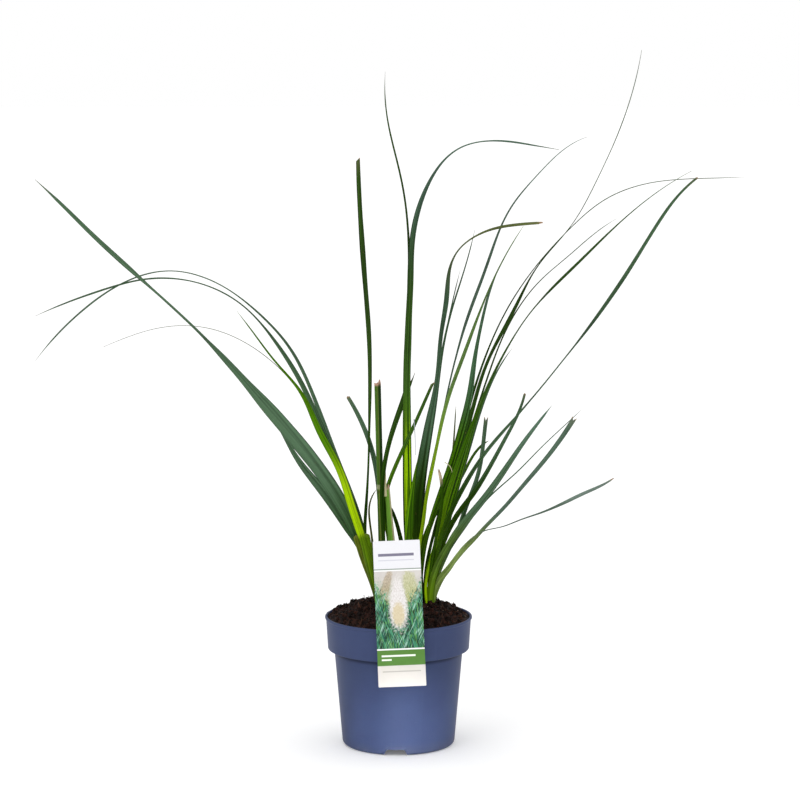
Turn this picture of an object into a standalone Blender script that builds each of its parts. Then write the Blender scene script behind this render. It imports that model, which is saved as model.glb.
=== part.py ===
"""A potted ornamental grass: a tapered nursery pot filled with peat, a clump of
long arching leaves with their sheaths and cut culms, and a hanging plant label.

Metres, +Z up. The origin is on the ground, on the pot's axis. +X is to the right
and -Y is the side that carries the label.
"""
import math
from collections import namedtuple

import bmesh
import bpy
import numpy as np
from mathutils import Vector

MM = 0.001
GAP = 0.3 * MM                      # clearance between neighbouring pieces

# ---- pot ------------------------------------------------------------------
POT_HEIGHT = 150 * MM
BEAD_RADIUS = 85.0 * MM             # the rolled bead round the mouth
BEAD_HEIGHT = 2.6 * MM
BAND_TOP_RADIUS = 83.9 * MM         # the wide band below the bead
BAND_FOOT_RADIUS = 81.6 * MM
BAND_FOOT_Z = 112 * MM
BODY_TOP_RADIUS = 74.2 * MM
BODY_FOOT_RADIUS = 64.8 * MM
STEP_RISE = 1.6 * MM                # the slope of the ledge under the band
FOOT_FILLET = 4.5 * MM
WALL = 1.5 * MM
FLOOR_Z = 6.5 * MM                  # underside of the raised floor
FOOT_RING_WIDTH = 3.0 * MM
PAD_RADIUS = 14 * MM                # centre pad that reaches the ground
POT_STEPS = 44
NOTCH_COUNT = 3
NOTCH_ANGLE = -93                   # degrees, the first notch faces the front
NOTCH_WIDTH = 26 * MM
NOTCH_HEIGHT = 6.0 * MM
NOTCH_SLANT = 3.5 * MM
DRAIN_COUNT = 6
DRAIN_RADIUS = 5 * MM
DRAIN_CIRCLE = 40 * MM

# ---- peat -----------------------------------------------------------------
PEAT_WALL_Z = 148 * MM              # where the peat meets the pot's wall
PEAT_CROWN = 19 * MM                # how far the middle heaps up above that
PEAT_STEPS = 32

# ---- label ----------------------------------------------------------------
LABEL_WIDTH = 54 * MM
LABEL_LENGTH = 168 * MM
LABEL_THICKNESS = 0.8 * MM
LABEL_FOOT_Z = 86 * MM
LABEL_TILT = 2.4                    # degrees it hangs out of plumb
LABEL_LEAN = 5.0                    # degrees its top leans out, as the band does
LABEL_X = 1.8 * MM                  # its middle, level with the rim
LABEL_CLEAR = 0.8 * MM              # between the card and the bead
TONGUE_WIDTH = 12 * MM
TONGUE_DROP = 4.6 * MM              # how far the tongue reaches behind the rim
TONGUE_THICKNESS = 0.8 * MM
TONGUE_ARM = 5.5 * MM               # from the card's middle back over the rim
TONGUE_CLEAR = 1.6 * MM             # how far above the rim the arm passes

# ---- leaves ---------------------------------------------------------------
LEAF_THICKNESS = 0.7 * MM
LEAF_FOOT_LIFT = 3 * MM             # leaf feet stand just clear of the peat
SPINE_STEPS = 240
RING_SPACING = 40 * MM
SHEATH_SHARE = 0.25                 # the part of a leaf that is sheath
TAPER_START = 0.30

# A leaf leaves the peat at foot (x, y), in mm, and bends in one upright plane that
# points along heading, in degrees from +X towards +Y. leans are its degrees from
# upright at even stations from foot to tip. width is in mm, tip is the share of the
# width left at the end (0 for a point), and rolls turn the blade about its own
# length: 0 lies across the bend, 90 stands on edge.
Leaf = namedtuple("Leaf", "name foot heading length leans width tip rolls colour")

OLIVE = (0.13, 0.15, 0.035)
LIME = (0.23, 0.36, 0.02)
GREEN = (0.065, 0.17, 0.025)
DEEP = (0.022, 0.07, 0.022)
TEAL = (0.055, 0.13, 0.085)
STRAW = (0.32, 0.27, 0.13)

LEAVES = [
    # the left shoot
    Leaf("leaf_left_broad", (-25, -2), 200, 635,
         (19, 19, 30, 38, 40, 41, 45, 48, 48, 45, 48), 15, 0.1,
         (70, 85, 85, 60, 10, 0, 50, 60, 40), TEAL),
    Leaf("leaf_left_under", (-27, 4), 188, 254,
         (12, 21, 31, 35, 35, 32, 43), 8, 0, (80, 80), GREEN),
    Leaf("leaf_left_lime", (-22, -13), 186, 378,
         (19, 13, 18, 17, 29, 23, 41, 36, 38), 8, 0, (80, 80, 60, 40), LIME),
    Leaf("leaf_left_arch_near", (-20, 0), 168, 646,
         (19, 16, 20, 23, 24, 33, 43, 66, 87, 105, 110, 115), 7, 0,
         (80, 75, 60, 0, 0, 30, 30), DEEP),
    Leaf("leaf_left_arch_far", (-19, 12), 152, 739,
         (23, 16, 25, 23, 27, 47, 60, 80, 105, 121, 130, 139), 6, 0,
         (80, 75, 60, 0, 0, 0, 20), DEEP),
    Leaf("leaf_left_wisp", (-18, 14), 140, 621,
         (30, 25, 35, 30, 55, 75, 92, 105, 111), 2.5, 0, (80, 60, 0, 0, 0), OLIVE),
    Leaf("sheath_left_tan", (-24, -16), 185, 81, (12, 20, 13), 7, 0.8, (75, 75), OLIVE),
    Leaf("sheath_left_green", (-22, -22), 175, 82, (24, 7, 14), 9, 0.8, (75, 75), GREEN),
    # round the two cut culms
    Leaf("leaf_tall_cut", (-28, 10), 140, 510,
         (25, -4, -2, 0, 6, 5, 2), 5, 0.8, (20, 40, 85, 85, 85), DEEP),
    Leaf("leaf_culm_left", (-16, 14), 165, 240,
         (6, 3, 2, 9, 22, 34), 4.5, 0.7, (80, 80), TEAL),
    Leaf("leaf_culm_forked", (-17, -2), 20, 269,
         (-1, 0, -2, 11, 21, 16), 5, 0.4, (80, 80), GREEN),
    Leaf("leaf_culm_right", (-6, -9), -25, 270,
         (-7, -4, -9, 19, 26, 25, 25), 4, 0, (80, 80), DEEP),
    Leaf("leaf_culm_wisp", (-25, 18), 170, 127, (5, 3, 8, 3, -39), 2, 0, (60, 60), OLIVE),
    Leaf("leaf_culm_short", (11, 10), 170, 108, (5, 9, 23), 6, 0, (80, 80), DEEP),
    # the middle shoot
    Leaf("leaf_mid_crook", (16, -6), -35, 675,
         (-1, -4, -2, -1, -1, 2, 3, 3, 19, 41, 78, 96, 98), 9, 0.05,
         (80, 80, 80, 80, 60, 40, 20, 10), LIME),
    Leaf("leaf_mid_needle", (13, 1), 160, 607,
         (5, 2, 0, -1, -3, 5, 15, -4), 3, 0, (60, 60), DEEP),
    Leaf("leaf_mid_hook", (20, 2), -14, 515,
         (-2, 0, 2, 9, 9, 11, 4, 10, 6, 51, 79, 87), 10, 0.35,
         (80, 80, 80, 80, 60, 30, 20), TEAL),
    Leaf("leaf_mid_slender", (24, 9), 20, 433,
         (-4, 2, 8, 9, 11, 19, 13), 4, 0, (80, 80), GREEN),
    Leaf("leaf_mid_sliver", (26, 13), 40, 383,
         (-4, 2, 8, 12, 9, 15, 19), 3, 0, (80, 80), DEEP),
    Leaf("leaf_mid_lime", (29, -8), -42, 470,
         (-7, 2, 14, 15, 25, 25, 31, 41), 5, 0, (80, 80, 80, 60), LIME),
    Leaf("leaf_mid_back", (27, 17), 48, 650,
         (-3, 4, 18, 17, 23, 31, 30, 53, 60, 80), 3, 0, (70, 70, 50, 30), DEEP),
    Leaf("leaf_mid_short", (12, -8), -10, 166, (-1, 0, 6, 12), 7, 0, (80, 80), GREEN),
    # the right shoots
    Leaf("leaf_right_broad", (24, 5), 22, 394,
         (1, 5, 15, 22, 18, 20, 10, 12, 16, 29), 11, 0, (80, 80), GREEN),
    Leaf("leaf_right_far", (31, 12), 33, 761,
         (-3, 17, 20, 17, 21, 29, 40, 49, 56, 74, 86, 90, 89), 6, 0,
         (80, 70, 50, 30, 10, 0, 0), DEEP),
    Leaf("leaf_right_upswept", (43, 9), 12, 686,
         (-8, 11, 15, 15, 16, 29, 27, 43, 29, 25, 18, 9), 5, 0,
         (80, 80, 60, 50, 40), GREEN),
    Leaf("leaf_right_wisp", (46, 22), 50, 594,
         (-14, 20, 25, 28, 32, 49, 65, 65, 74), 2, 0, (60, 60, 40), DEEP),
    Leaf("leaf_right_olive", (47, -1), -10, 599,
         (-10, 12, 16, 15, 24, 33, 45, 45, 51, 62), 5, 0, (80, 80, 70, 70, 60), GREEN),
    Leaf("leaf_right_mate", (49, 14), 15, 306,
         (-9, 10, 15, 17, 17, 24, 40), 3, 0, (80, 80), TEAL),
    Leaf("leaf_right_lime", (32, -12), -18, 245,
         (-7, 13, 16, 13, 18, 19, 21, 18), 8, 0, (40, 80, 80, 80), LIME),
    Leaf("leaf_right_long", (40, -14), -38, 617,
         (7, 10, 27, 35, 44, 44, 42, 41, 38, 35, 38, 56), 5.5, 0.8, (80, 80), TEAL),
    Leaf("leaf_right_slim_cut", (44, -4), -12, 268,
         (3, 9, 17, 37, 31, 28, 27, 13), 4.5, 0.6, (80, 80), DEEP),
    Leaf("leaf_right_teal", (40, -11), 2, 265,
         (0, 16, 29, 40, 36, 34, 37, 39), 8, 0, (80, 80), TEAL),
    Leaf("leaf_right_thin", (56, 16), 45, 333,
         (-1, 30, 42, 62, 59, 62, 62), 2.5, 0, (60, 60), GREEN),
    Leaf("leaf_right_notched", (49, -10), -28, 282,
         (14, 29, 38, 45, 41, 41, 37, 32), 5.5, 0.9, (80, 80), TEAL),
    Leaf("leaf_right_low", (45, -18), -46, 326,
         (10, 38, 30, 51, 75, 67, 70, 66, 64, 66, 58), 6, 0.1,
         (70, 70, 40, 60, 70, 70), OLIVE),
    Leaf("leaf_right_upright", (51, 18), 50, 223,
         (-1, 28, 27, 34, 12, 10), 4.5, 0.7, (80, 80), TEAL),
    Leaf("leaf_right_torn", (27, 10), 48, 226,
         (-3, 2, 44, 52, 41, 78), 3, 0, (70, 70), GREEN),
    Leaf("stub_right_dry", (36, -18), -20, 157, (2, 7, 9, -17), 4, 0.3, (70, 70), STRAW),
    Leaf("leaf_right_grey", (41, 24), 65, 228,
         (4, 12, 26, 25, 11, 8), 2, 0, (50, 50), OLIVE),
]

# A culm is a round cut stem: its foot and top (x, y, z) in mm, its radius in mm.
Culm = namedtuple("Culm", "name foot top radius colour")
CULMS = [
    Culm("culm_tall", (-18, 6, 168), (-22, 6, 411), 3.9, DEEP),
    Culm("culm_pale", (-3, 3, 168), (-12, 3, 288), 3.7, GREEN),
]
CULM_SWELL = 1.12                   # the foot of a culm is this much thicker


# ---- helpers --------------------------------------------------------------
def clear_scene():
    for old in list(bpy.data.objects):
        bpy.data.objects.remove(old, do_unlink=True)


def new_collection(name):
    made = bpy.data.collections.new(name)
    bpy.context.scene.collection.children.link(made)
    return made


def material(name, colour, roughness):
    made = bpy.data.materials.new(name)
    made.use_nodes = True
    shader = made.node_tree.nodes["Principled BSDF"]
    shader.inputs["Base Color"].default_value = (*colour, 1)
    shader.inputs["Roughness"].default_value = roughness
    shader.inputs["Metallic"].default_value = 0
    made.diffuse_color = (*colour, 1)
    return made


def add_object(name, data, collection, look=None):
    made = bpy.data.objects.new(name, data)
    collection.objects.link(made)
    if look:
        data.materials.append(look)
    return made


def mesh_from(bm, name):
    data = bpy.data.meshes.new(name)
    bm.to_mesh(data)
    bm.free()
    return data


def smooth_sides(obj, degrees=40):
    obj.data.shade_smooth()
    obj.data.set_sharp_from_angle(angle=math.radians(degrees))


def turned(name, outline, steps, collection, look):
    """A lathe shape from an outline of (radius, z), inner side up, outer side down."""
    bm = bmesh.new()
    points = [bm.verts.new((radius, 0, z)) for radius, z in outline]
    for here, there in zip(points, points[1:]):
        bm.edges.new((here, there))
    made = add_object(name, mesh_from(bm, name), collection, look)
    screw = made.modifiers.new("turn", "SCREW")
    screw.axis = "Z"
    screw.angle = math.tau
    screw.steps = steps
    screw.render_steps = steps
    screw.use_merge_vertices = True
    screw.merge_threshold = 0.00001
    screw.use_smooth_shade = True
    return made


def box_mesh(name, low, high):
    """A box between two corners."""
    bm = bmesh.new()
    bmesh.ops.create_cube(bm, size=1)
    for vert in bm.verts:
        vert.co = [top if here > 0 else bottom for here, bottom, top in zip(vert.co, low, high)]
    return mesh_from(bm, name)


def hide_cutter(cutter):
    cutter.hide_render = True
    cutter.display_type = "WIRE"


def cut(target, cutter):
    boolean = target.modifiers.new("cut_" + cutter.name, "BOOLEAN")
    boolean.operation = "DIFFERENCE"
    boolean.object = cutter
    boolean.solver = "EXACT"


# ---- pot and peat ---------------------------------------------------------
def body_radius(z):
    """Outer radius of the tapered body below the band."""
    share = z / BAND_FOOT_Z
    return BODY_FOOT_RADIUS + (BODY_TOP_RADIUS - BODY_FOOT_RADIUS) * share


def band_radius(z):
    """Outer radius of the band above the ledge."""
    share = (z - BAND_FOOT_Z) / (POT_HEIGHT - BAND_FOOT_Z)
    return BAND_FOOT_RADIUS + (BAND_TOP_RADIUS - BAND_FOOT_RADIUS) * share


def pot_outline():
    floor_top = FLOOR_Z + WALL
    inner_ledge = BAND_FOOT_Z + WALL
    fillet = [
        (body_radius(0) - FOOT_FILLET * (1 - math.cos(turn)), FOOT_FILLET * (1 - math.sin(turn)))
        for turn in (0, math.pi / 6, math.pi / 3, math.pi / 2)
    ]
    return [
        (0, floor_top),
        (body_radius(floor_top) - WALL, floor_top),
        (body_radius(inner_ledge) - WALL, inner_ledge),
        (band_radius(inner_ledge) - WALL, inner_ledge + STEP_RISE),
        (band_radius(POT_HEIGHT) - WALL, POT_HEIGHT - 0.6 * MM),
        (band_radius(POT_HEIGHT) - WALL + 0.6 * MM, POT_HEIGHT),
        (BEAD_RADIUS - 0.7 * MM, POT_HEIGHT),
        (BEAD_RADIUS, POT_HEIGHT - 0.7 * MM),
        (BEAD_RADIUS, POT_HEIGHT - BEAD_HEIGHT),
        (band_radius(POT_HEIGHT - BEAD_HEIGHT), POT_HEIGHT - BEAD_HEIGHT - 0.8 * MM),
        (BAND_FOOT_RADIUS, BAND_FOOT_Z + 0.8 * MM),
        (BAND_FOOT_RADIUS - 0.8 * MM, BAND_FOOT_Z),
        (BODY_TOP_RADIUS, BAND_FOOT_Z - STEP_RISE),
        *fillet,
        (BODY_FOOT_RADIUS - FOOT_FILLET - FOOT_RING_WIDTH, 0),
        (BODY_FOOT_RADIUS - FOOT_FILLET - FOOT_RING_WIDTH, FLOOR_Z),
        (PAD_RADIUS, FLOOR_Z),
        (PAD_RADIUS - 1 * MM, 0),
        (0, 0),
    ]


def make_notch_cutter(index, cutters):
    """A wedge-sided block that cuts one drain notch through the foot ring."""
    depth = 30 * MM
    bm = bmesh.new()
    bmesh.ops.create_cube(bm, size=1)
    for vert in bm.verts:
        top = vert.co.z > 0
        half = NOTCH_WIDTH / 2 - (NOTCH_SLANT if top else -NOTCH_SLANT)
        vert.co.x = BODY_FOOT_RADIUS - FOOT_RING_WIDTH + vert.co.x * depth
        vert.co.y = math.copysign(half, vert.co.y)
        vert.co.z = NOTCH_HEIGHT if top else -NOTCH_HEIGHT
    cutter = add_object(f"notch_cutter_{index}", mesh_from(bm, "notch"), cutters)
    cutter.rotation_euler.z = math.radians(NOTCH_ANGLE + index * 360 / NOTCH_COUNT)
    hide_cutter(cutter)
    return cutter


def make_drain_cutter(index, cutters):
    bm = bmesh.new()
    bmesh.ops.create_cone(bm, cap_ends=True, segments=12, radius1=DRAIN_RADIUS,
                          radius2=DRAIN_RADIUS, depth=20 * MM)
    cutter = add_object(f"drain_cutter_{index}", mesh_from(bm, "drain"), cutters)
    turn = math.radians(30 + index * 360 / DRAIN_COUNT)
    cutter.location = (DRAIN_CIRCLE * math.cos(turn), DRAIN_CIRCLE * math.sin(turn), FLOOR_Z)
    hide_cutter(cutter)
    return cutter


def make_pot(parts, cutters):
    look = material("pot_plastic", (0.07, 0.095, 0.19), 0.42)
    pot = turned("pot", pot_outline(), POT_STEPS, parts, look)
    for index in range(NOTCH_COUNT):
        cut(pot, make_notch_cutter(index, cutters))
    for index in range(DRAIN_COUNT):
        cut(pot, make_drain_cutter(index, cutters))


def peat_height(x, y):
    rim = band_radius(PEAT_WALL_Z) - WALL - 2 * GAP
    reach = min(math.hypot(x, y) / rim, 1)
    return PEAT_WALL_Z + PEAT_CROWN * (1 - reach ** 4)


def make_peat(parts, cutters):
    """The peat fills the pot inside its wall and heaps up in the middle."""
    bottom = FLOOR_Z + WALL + GAP
    ledge = BAND_FOOT_Z + WALL + 2 * GAP
    inset = WALL + 2 * GAP
    rim = band_radius(PEAT_WALL_Z) - inset
    crown = [(rim * share, peat_height(rim * share, 0)) for share in (0, 0.35, 0.55, 0.7, 0.82, 0.92)]
    outline = crown + [
        (rim, PEAT_WALL_Z),
        (band_radius(ledge) - inset, ledge + STEP_RISE),
        (body_radius(ledge) - inset, ledge),
        (body_radius(bottom) - inset, bottom),
        (0, bottom),
    ]
    peat = turned("peat", outline, PEAT_STEPS, parts,
                  material("peat", (0.012, 0.006, 0.004), 0.95))
    cut(peat, make_tongue_pocket(cutters))


# ---- label ----------------------------------------------------------------
def make_label(parts, cutters):
    """A card that leans along the band, with a tongue hooked over the rim."""
    below_rim = (POT_HEIGHT - LABEL_FOOT_Z) / math.cos(math.radians(LABEL_LEAN))
    half = LABEL_WIDTH / 2
    thin = LABEL_THICKNESS / 2
    card = add_object("label", box_mesh("label", (-half, -thin, -below_rim),
                                        (half, thin, LABEL_LENGTH - below_rim)),
                      parts, material("label_card", (0.85, 0.85, 0.82), 0.35))
    card.location = (LABEL_X, -(BEAD_RADIUS + thin + LABEL_CLEAR), POT_HEIGHT)
    card.rotation_euler = (math.radians(LABEL_LEAN), math.radians(-LABEL_TILT), 0)

    half = TONGUE_WIDTH / 2
    arm_top = TONGUE_CLEAR + TONGUE_THICKNESS
    arm = ((-half, 0, TONGUE_CLEAR), (half, TONGUE_ARM, arm_top))
    drop = ((-half, TONGUE_ARM - TONGUE_THICKNESS, -TONGUE_DROP), (half, TONGUE_ARM, arm_top))
    for index, corners in enumerate((arm, drop)):
        tongue = add_object(f"label_tongue_{index}", box_mesh("tongue", *corners), cutters)
        tongue.location = card.location
        hide_cutter(tongue)
        join = card.modifiers.new(f"tongue_{index}", "BOOLEAN")
        join.operation = "UNION"
        join.object = tongue
        join.solver = "EXACT"


def make_tongue_pocket(cutters):
    """The pocket that the label's tongue has pushed into the edge of the peat."""
    card_y = -(BEAD_RADIUS + LABEL_THICKNESS / 2 + LABEL_CLEAR)
    half = TONGUE_WIDTH / 2 + 2 * GAP
    low = (LABEL_X - half, card_y, POT_HEIGHT - TONGUE_DROP - 2 * GAP)
    high = (LABEL_X + half, card_y + TONGUE_ARM + 2 * GAP, POT_HEIGHT + PEAT_CROWN)
    pocket = add_object("tongue_pocket", box_mesh("pocket", low, high), cutters)
    hide_cutter(pocket)
    return pocket


# ---- grass ----------------------------------------------------------------
def along(values, share):
    """Values held at even stations, read smoothly at each share from 0 to 1."""
    held = np.asarray(values, float)
    last = len(held) - 1
    place = np.clip(np.asarray(share) * last, 0, last - 1e-9)
    index = place.astype(int)
    part = place - index
    slope = np.gradient(held)
    return (
        held[index] * (2 * part ** 3 - 3 * part ** 2 + 1)
        + held[index + 1] * (3 * part ** 2 - 2 * part ** 3)
        + slope[index] * (part ** 3 - 2 * part ** 2 + part)
        + slope[index + 1] * (part ** 3 - part ** 2)
    )


def leaf_spine(leaf):
    """The leaf's middle line from its foot at the origin, as SPINE_STEPS + 1 points."""
    step = leaf.length * MM / SPINE_STEPS
    lean = np.radians(along(leaf.leans, (np.arange(SPINE_STEPS) + 0.5) / SPINE_STEPS))
    out = np.concatenate([[0], np.cumsum(np.sin(lean) * step)])
    up = np.concatenate([[0], np.cumsum(np.cos(lean) * step)])
    heading = math.radians(leaf.heading)
    return np.stack([out * math.cos(heading), out * math.sin(heading), up], axis=1)


def leaf_sides(leaf, spine):
    """Unit vectors across the blade at each point of its spine."""
    heading = math.radians(leaf.heading)
    length_way = np.gradient(spine, axis=0)
    length_way /= np.linalg.norm(length_way, axis=1)[:, None]
    level = np.array([-math.sin(heading), math.cos(heading), 0])
    on_edge = np.cross(length_way, level)
    roll = np.radians(along(leaf.rolls, np.linspace(0, 1, len(spine))))[:, None]
    return level * np.cos(roll) + on_edge * np.sin(roll)


def leaf_width(leaf, share):
    sheath = 0.5 + 0.5 * min(share / SHEATH_SHARE, 1)
    taper = 1 - (1 - leaf.tip) * max(share - TAPER_START, 0) / (1 - TAPER_START)
    return max(leaf.width * sheath * taper, 0.9) * MM


def make_leaf(leaf, parts):
    """A strip bent along the leaf's spine, thickened by Solidify."""
    spine = leaf_spine(leaf)
    sides = leaf_sides(leaf, spine)
    rings = int(9 + leaf.length * MM / RING_SPACING)
    bm = bmesh.new()
    bmesh.ops.create_grid(bm, x_segments=1, y_segments=rings - 1, size=0.5)
    for vert in bm.verts:
        share = vert.co.y + 0.5
        here = round(share * SPINE_STEPS)
        half = leaf_width(leaf, share) * vert.co.x
        vert.co = Vector(spine[here] + sides[here] * half)
    obj = add_object(leaf.name, mesh_from(bm, leaf.name), parts,
                     material(leaf.name, leaf.colour, 0.5))
    x, y = (value * MM for value in leaf.foot)
    obj.location = (x, y, peat_height(x, y) + LEAF_FOOT_LIFT)
    thick = obj.modifiers.new("thickness", "SOLIDIFY")
    thick.thickness = LEAF_THICKNESS
    thick.offset = 0
    smooth_sides(obj)


def make_culm(culm, parts):
    data = bpy.data.curves.new(culm.name, "CURVE")
    data.dimensions = "3D"
    data.bevel_depth = culm.radius * MM
    data.bevel_resolution = 2
    data.use_fill_caps = True
    foot = Vector(culm.foot) * MM
    top = Vector(culm.top) * MM
    line = data.splines.new("POLY")
    stations = (0, 0.3, 0.65, 1)
    line.points.add(len(stations) - 1)
    for point, share in zip(line.points, stations):
        point.co = (*(top - foot) * share, 1)
        point.radius = CULM_SWELL + (1 - CULM_SWELL) * share
    obj = add_object(culm.name, data, parts, material(culm.name, culm.colour, 0.5))
    obj.location = foot


def main():
    clear_scene()
    parts = new_collection("potted_grass")
    cutters = new_collection("cutters")
    make_pot(parts, cutters)
    make_peat(parts, cutters)
    make_label(parts, cutters)
    for culm in CULMS:
        make_culm(culm, parts)
    for leaf in LEAVES:
        make_leaf(leaf, parts)


main()
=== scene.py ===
# %% [markdown]
# # A potted ornamental grass
# The object is a young clump of tall grass in a tapered plastic nursery pot. It has
# dark peat, two stems that were cut back, leaves that arch over to both sides, and a
# plant label hooked over the rim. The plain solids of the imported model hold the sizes
# and places, so this lesson starts by loading them and then dresses each one.

import math
from collections import namedtuple

import bmesh
import bpy
import numpy as np
from mathutils import Matrix, Vector, noise


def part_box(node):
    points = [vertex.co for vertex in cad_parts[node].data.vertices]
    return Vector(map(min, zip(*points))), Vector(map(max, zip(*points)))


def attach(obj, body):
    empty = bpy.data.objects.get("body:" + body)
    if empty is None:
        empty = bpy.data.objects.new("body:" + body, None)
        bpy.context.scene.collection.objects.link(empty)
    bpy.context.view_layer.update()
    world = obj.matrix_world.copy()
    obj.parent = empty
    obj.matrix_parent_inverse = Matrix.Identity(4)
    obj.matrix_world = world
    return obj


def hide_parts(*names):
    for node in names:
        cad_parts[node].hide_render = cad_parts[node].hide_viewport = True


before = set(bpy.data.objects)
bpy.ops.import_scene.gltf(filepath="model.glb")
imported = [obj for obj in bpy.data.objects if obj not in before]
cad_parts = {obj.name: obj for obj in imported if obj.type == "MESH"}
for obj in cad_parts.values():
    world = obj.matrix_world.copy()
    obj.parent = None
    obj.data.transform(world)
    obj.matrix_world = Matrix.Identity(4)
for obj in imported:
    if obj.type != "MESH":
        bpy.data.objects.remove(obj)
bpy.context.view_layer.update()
MM = 0.001
pot_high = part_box("pot")[1]

# %% [markdown]
# ## Camera
# A long lens from three metres away keeps the pot's sides nearly parallel. It looks
# slightly down, just enough to show the peat as a thin oval inside the rim.

# %% The camera
CAMERA_PLACE = (0.0017, -3.0, 0.77)
CAMERA_DIP = 7.02                   # degrees below the horizon
SENSOR_WIDTH = 36                   # millimetres, as is the focal length
FOCAL_LENGTH = 118.8
lens = bpy.data.cameras.new("camera")
lens.sensor_width = SENSOR_WIDTH
lens.lens = FOCAL_LENGTH
lens.clip_end = 200
camera = bpy.data.objects.new("camera", lens)
camera.location = CAMERA_PLACE
camera.rotation_euler = (math.radians(90 - CAMERA_DIP), 0, 0)
bpy.context.collection.objects.link(camera)
bpy.context.scene.camera = camera
bpy.context.scene.view_settings.view_transform = "Standard"
print("camera at", tuple(camera.location))

# %% [markdown]
# ## Shader sums
# A material is a graph of nodes. Writing its sums as ordinary expressions keeps the
# graph short to read: a Wire is one output of a node, and adding or multiplying wires
# adds the Math nodes. Every other node comes from one method, Finish.node.

# %% Wires and finishes
class Wire:
    """One output of a shader node, which takes part in sums."""

    def __init__(self, finish, socket):
        self.finish = finish
        self.socket = socket

    def sum(self, operation, first, second):
        return self.finish.node("ShaderNodeMath", {"operation": operation}, {0: first, 1: second})

    def __add__(self, other):
        return self.sum("ADD", self, other)

    def __sub__(self, other):
        return self.sum("SUBTRACT", self, other)

    def __rsub__(self, other):
        return self.sum("SUBTRACT", other, self)

    def __mul__(self, other):
        return self.sum("MULTIPLY", self, other)

    def __pow__(self, other):
        return self.sum("POWER", self, other)

    def __abs__(self):
        return self.sum("ABSOLUTE", self, 0.0)

    __radd__ = __add__


class Finish:
    """A material that is built up node by node."""

    def __init__(self, name, **fixed):
        self.material = bpy.data.materials.new(name)
        self.material.use_nodes = True
        self.tree = self.material.node_tree
        self.shader = self.tree.nodes["Principled BSDF"]
        for socket, value in fixed.items():
            self.shader.inputs[socket.replace("_", " ")].default_value = value

    def node(self, kind, settings=None, sockets=None, out=0):
        """Adds a node: its settings first, then a value or a wire for each socket."""
        made = self.tree.nodes.new(kind)
        for key, value in (settings or {}).items():
            setattr(made, key, value)
        for key, value in (sockets or {}).items():
            if isinstance(value, Wire):
                self.tree.links.new(value.socket, made.inputs[key])
            else:
                made.inputs[key].default_value = value
        return Wire(self, made.outputs[out])

    def place(self):
        """The point's place on the object, in metres."""
        return self.node("ShaderNodeTexCoord", out="Object")

    def stored(self, name):
        """A number that the mesh stores under that name."""
        return self.node("ShaderNodeAttribute", {"attribute_name": name}, out="Fac")

    def flat(self, name):
        """The two numbers of a UV map, as wires."""
        pair = self.node("ShaderNodeUVMap", {"uv_map": name})
        split = {"Vector": pair}
        return [self.node("ShaderNodeSeparateXYZ", None, split, out=axis) for axis in "XY"]

    def point(self, x, y, z=0.0):
        return self.node("ShaderNodeCombineXYZ", None, {"X": x, "Y": y, "Z": z})

    def stretch(self, point, scale):
        return self.node("ShaderNodeMapping", None, {"Vector": point, "Scale": scale})

    def cloud(self, point, scale, detail=3.0, roughness=0.55):
        """Soft noise from 0 to 1."""
        return self.node("ShaderNodeTexNoise", None, {
            "Vector": point, "Scale": scale, "Detail": detail, "Roughness": roughness})

    def step(self, value, low, high, bottom=0.0, top=1.0):
        """A smooth step from bottom to top while value goes from low to high."""
        return self.node("ShaderNodeMapRange", {"interpolation_type": "SMOOTHSTEP"}, {
            "Value": value, "From Min": low, "From Max": high, "To Min": bottom, "To Max": top})

    def mix(self, share, first, second):
        """Blends two colours, each a triple or a wire."""
        pair = [c if isinstance(c, Wire) else (*c, 1.0) for c in (first, second)]
        return self.node("ShaderNodeMix", {"data_type": "RGBA"},
                         {0: share, 6: pair[0], 7: pair[1]}, out=2)

    def scale(self, colour, share):
        """Makes a colour lighter or darker by a number."""
        return self.node("ShaderNodeVectorMath", {"operation": "SCALE"},
                         {0: colour, "Scale": share})

    def specks(self, scale, low, high):
        """A mask of small scattered dots."""
        return self.step(self.cloud(self.place(), scale, 2.0), low, high)

    def bump(self, height, distance, strength=1.0):
        """Turns a height into small relief, distance being its depth in metres."""
        relief = self.node("ShaderNodeBump", None, {
            "Height": height, "Distance": distance, "Strength": strength})
        self.use("Normal", relief)

    def use(self, socket, wire):
        self.tree.links.new(wire.socket, self.shader.inputs[socket])


print("wires and finishes ready")

# %% [markdown]
# ## Small mesh helpers
# Each piece is shaped in a bmesh, with its place already in the vertices, and becomes
# an object at the origin. It rides on the only body and stands for its imported solids.

# %% Mesh helpers
def finish_piece(bm, name, looks, nodes=(), smooth=45, part_of_object=True):
    data = bpy.data.meshes.new(name)
    bm.to_mesh(data)
    bm.free()
    data.shade_smooth()
    data.set_sharp_from_angle(angle=math.radians(smooth))
    for look in looks:
        data.materials.append(look.material)
    piece = bpy.data.objects.new(name, data)
    bpy.context.collection.objects.link(piece)
    if part_of_object:
        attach(piece, "root")
    if nodes:
        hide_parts(*nodes)
    return piece


def lathe(bm, outline, steps):
    """Spins an outline of (radius, z) round the Z axis into a closed surface."""
    points = [bm.verts.new((radius, 0, z)) for radius, z in outline]
    edges = [bm.edges.new(pair) for pair in zip(points, points[1:])]
    bmesh.ops.spin(bm, geom=points + edges, cent=(0, 0, 0), axis=(0, 0, 1),
                   angle=math.tau, steps=steps, use_merge=True)
    bmesh.ops.remove_doubles(bm, verts=bm.verts, dist=1e-6)
    bmesh.ops.recalc_face_normals(bm, faces=bm.faces)


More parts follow.
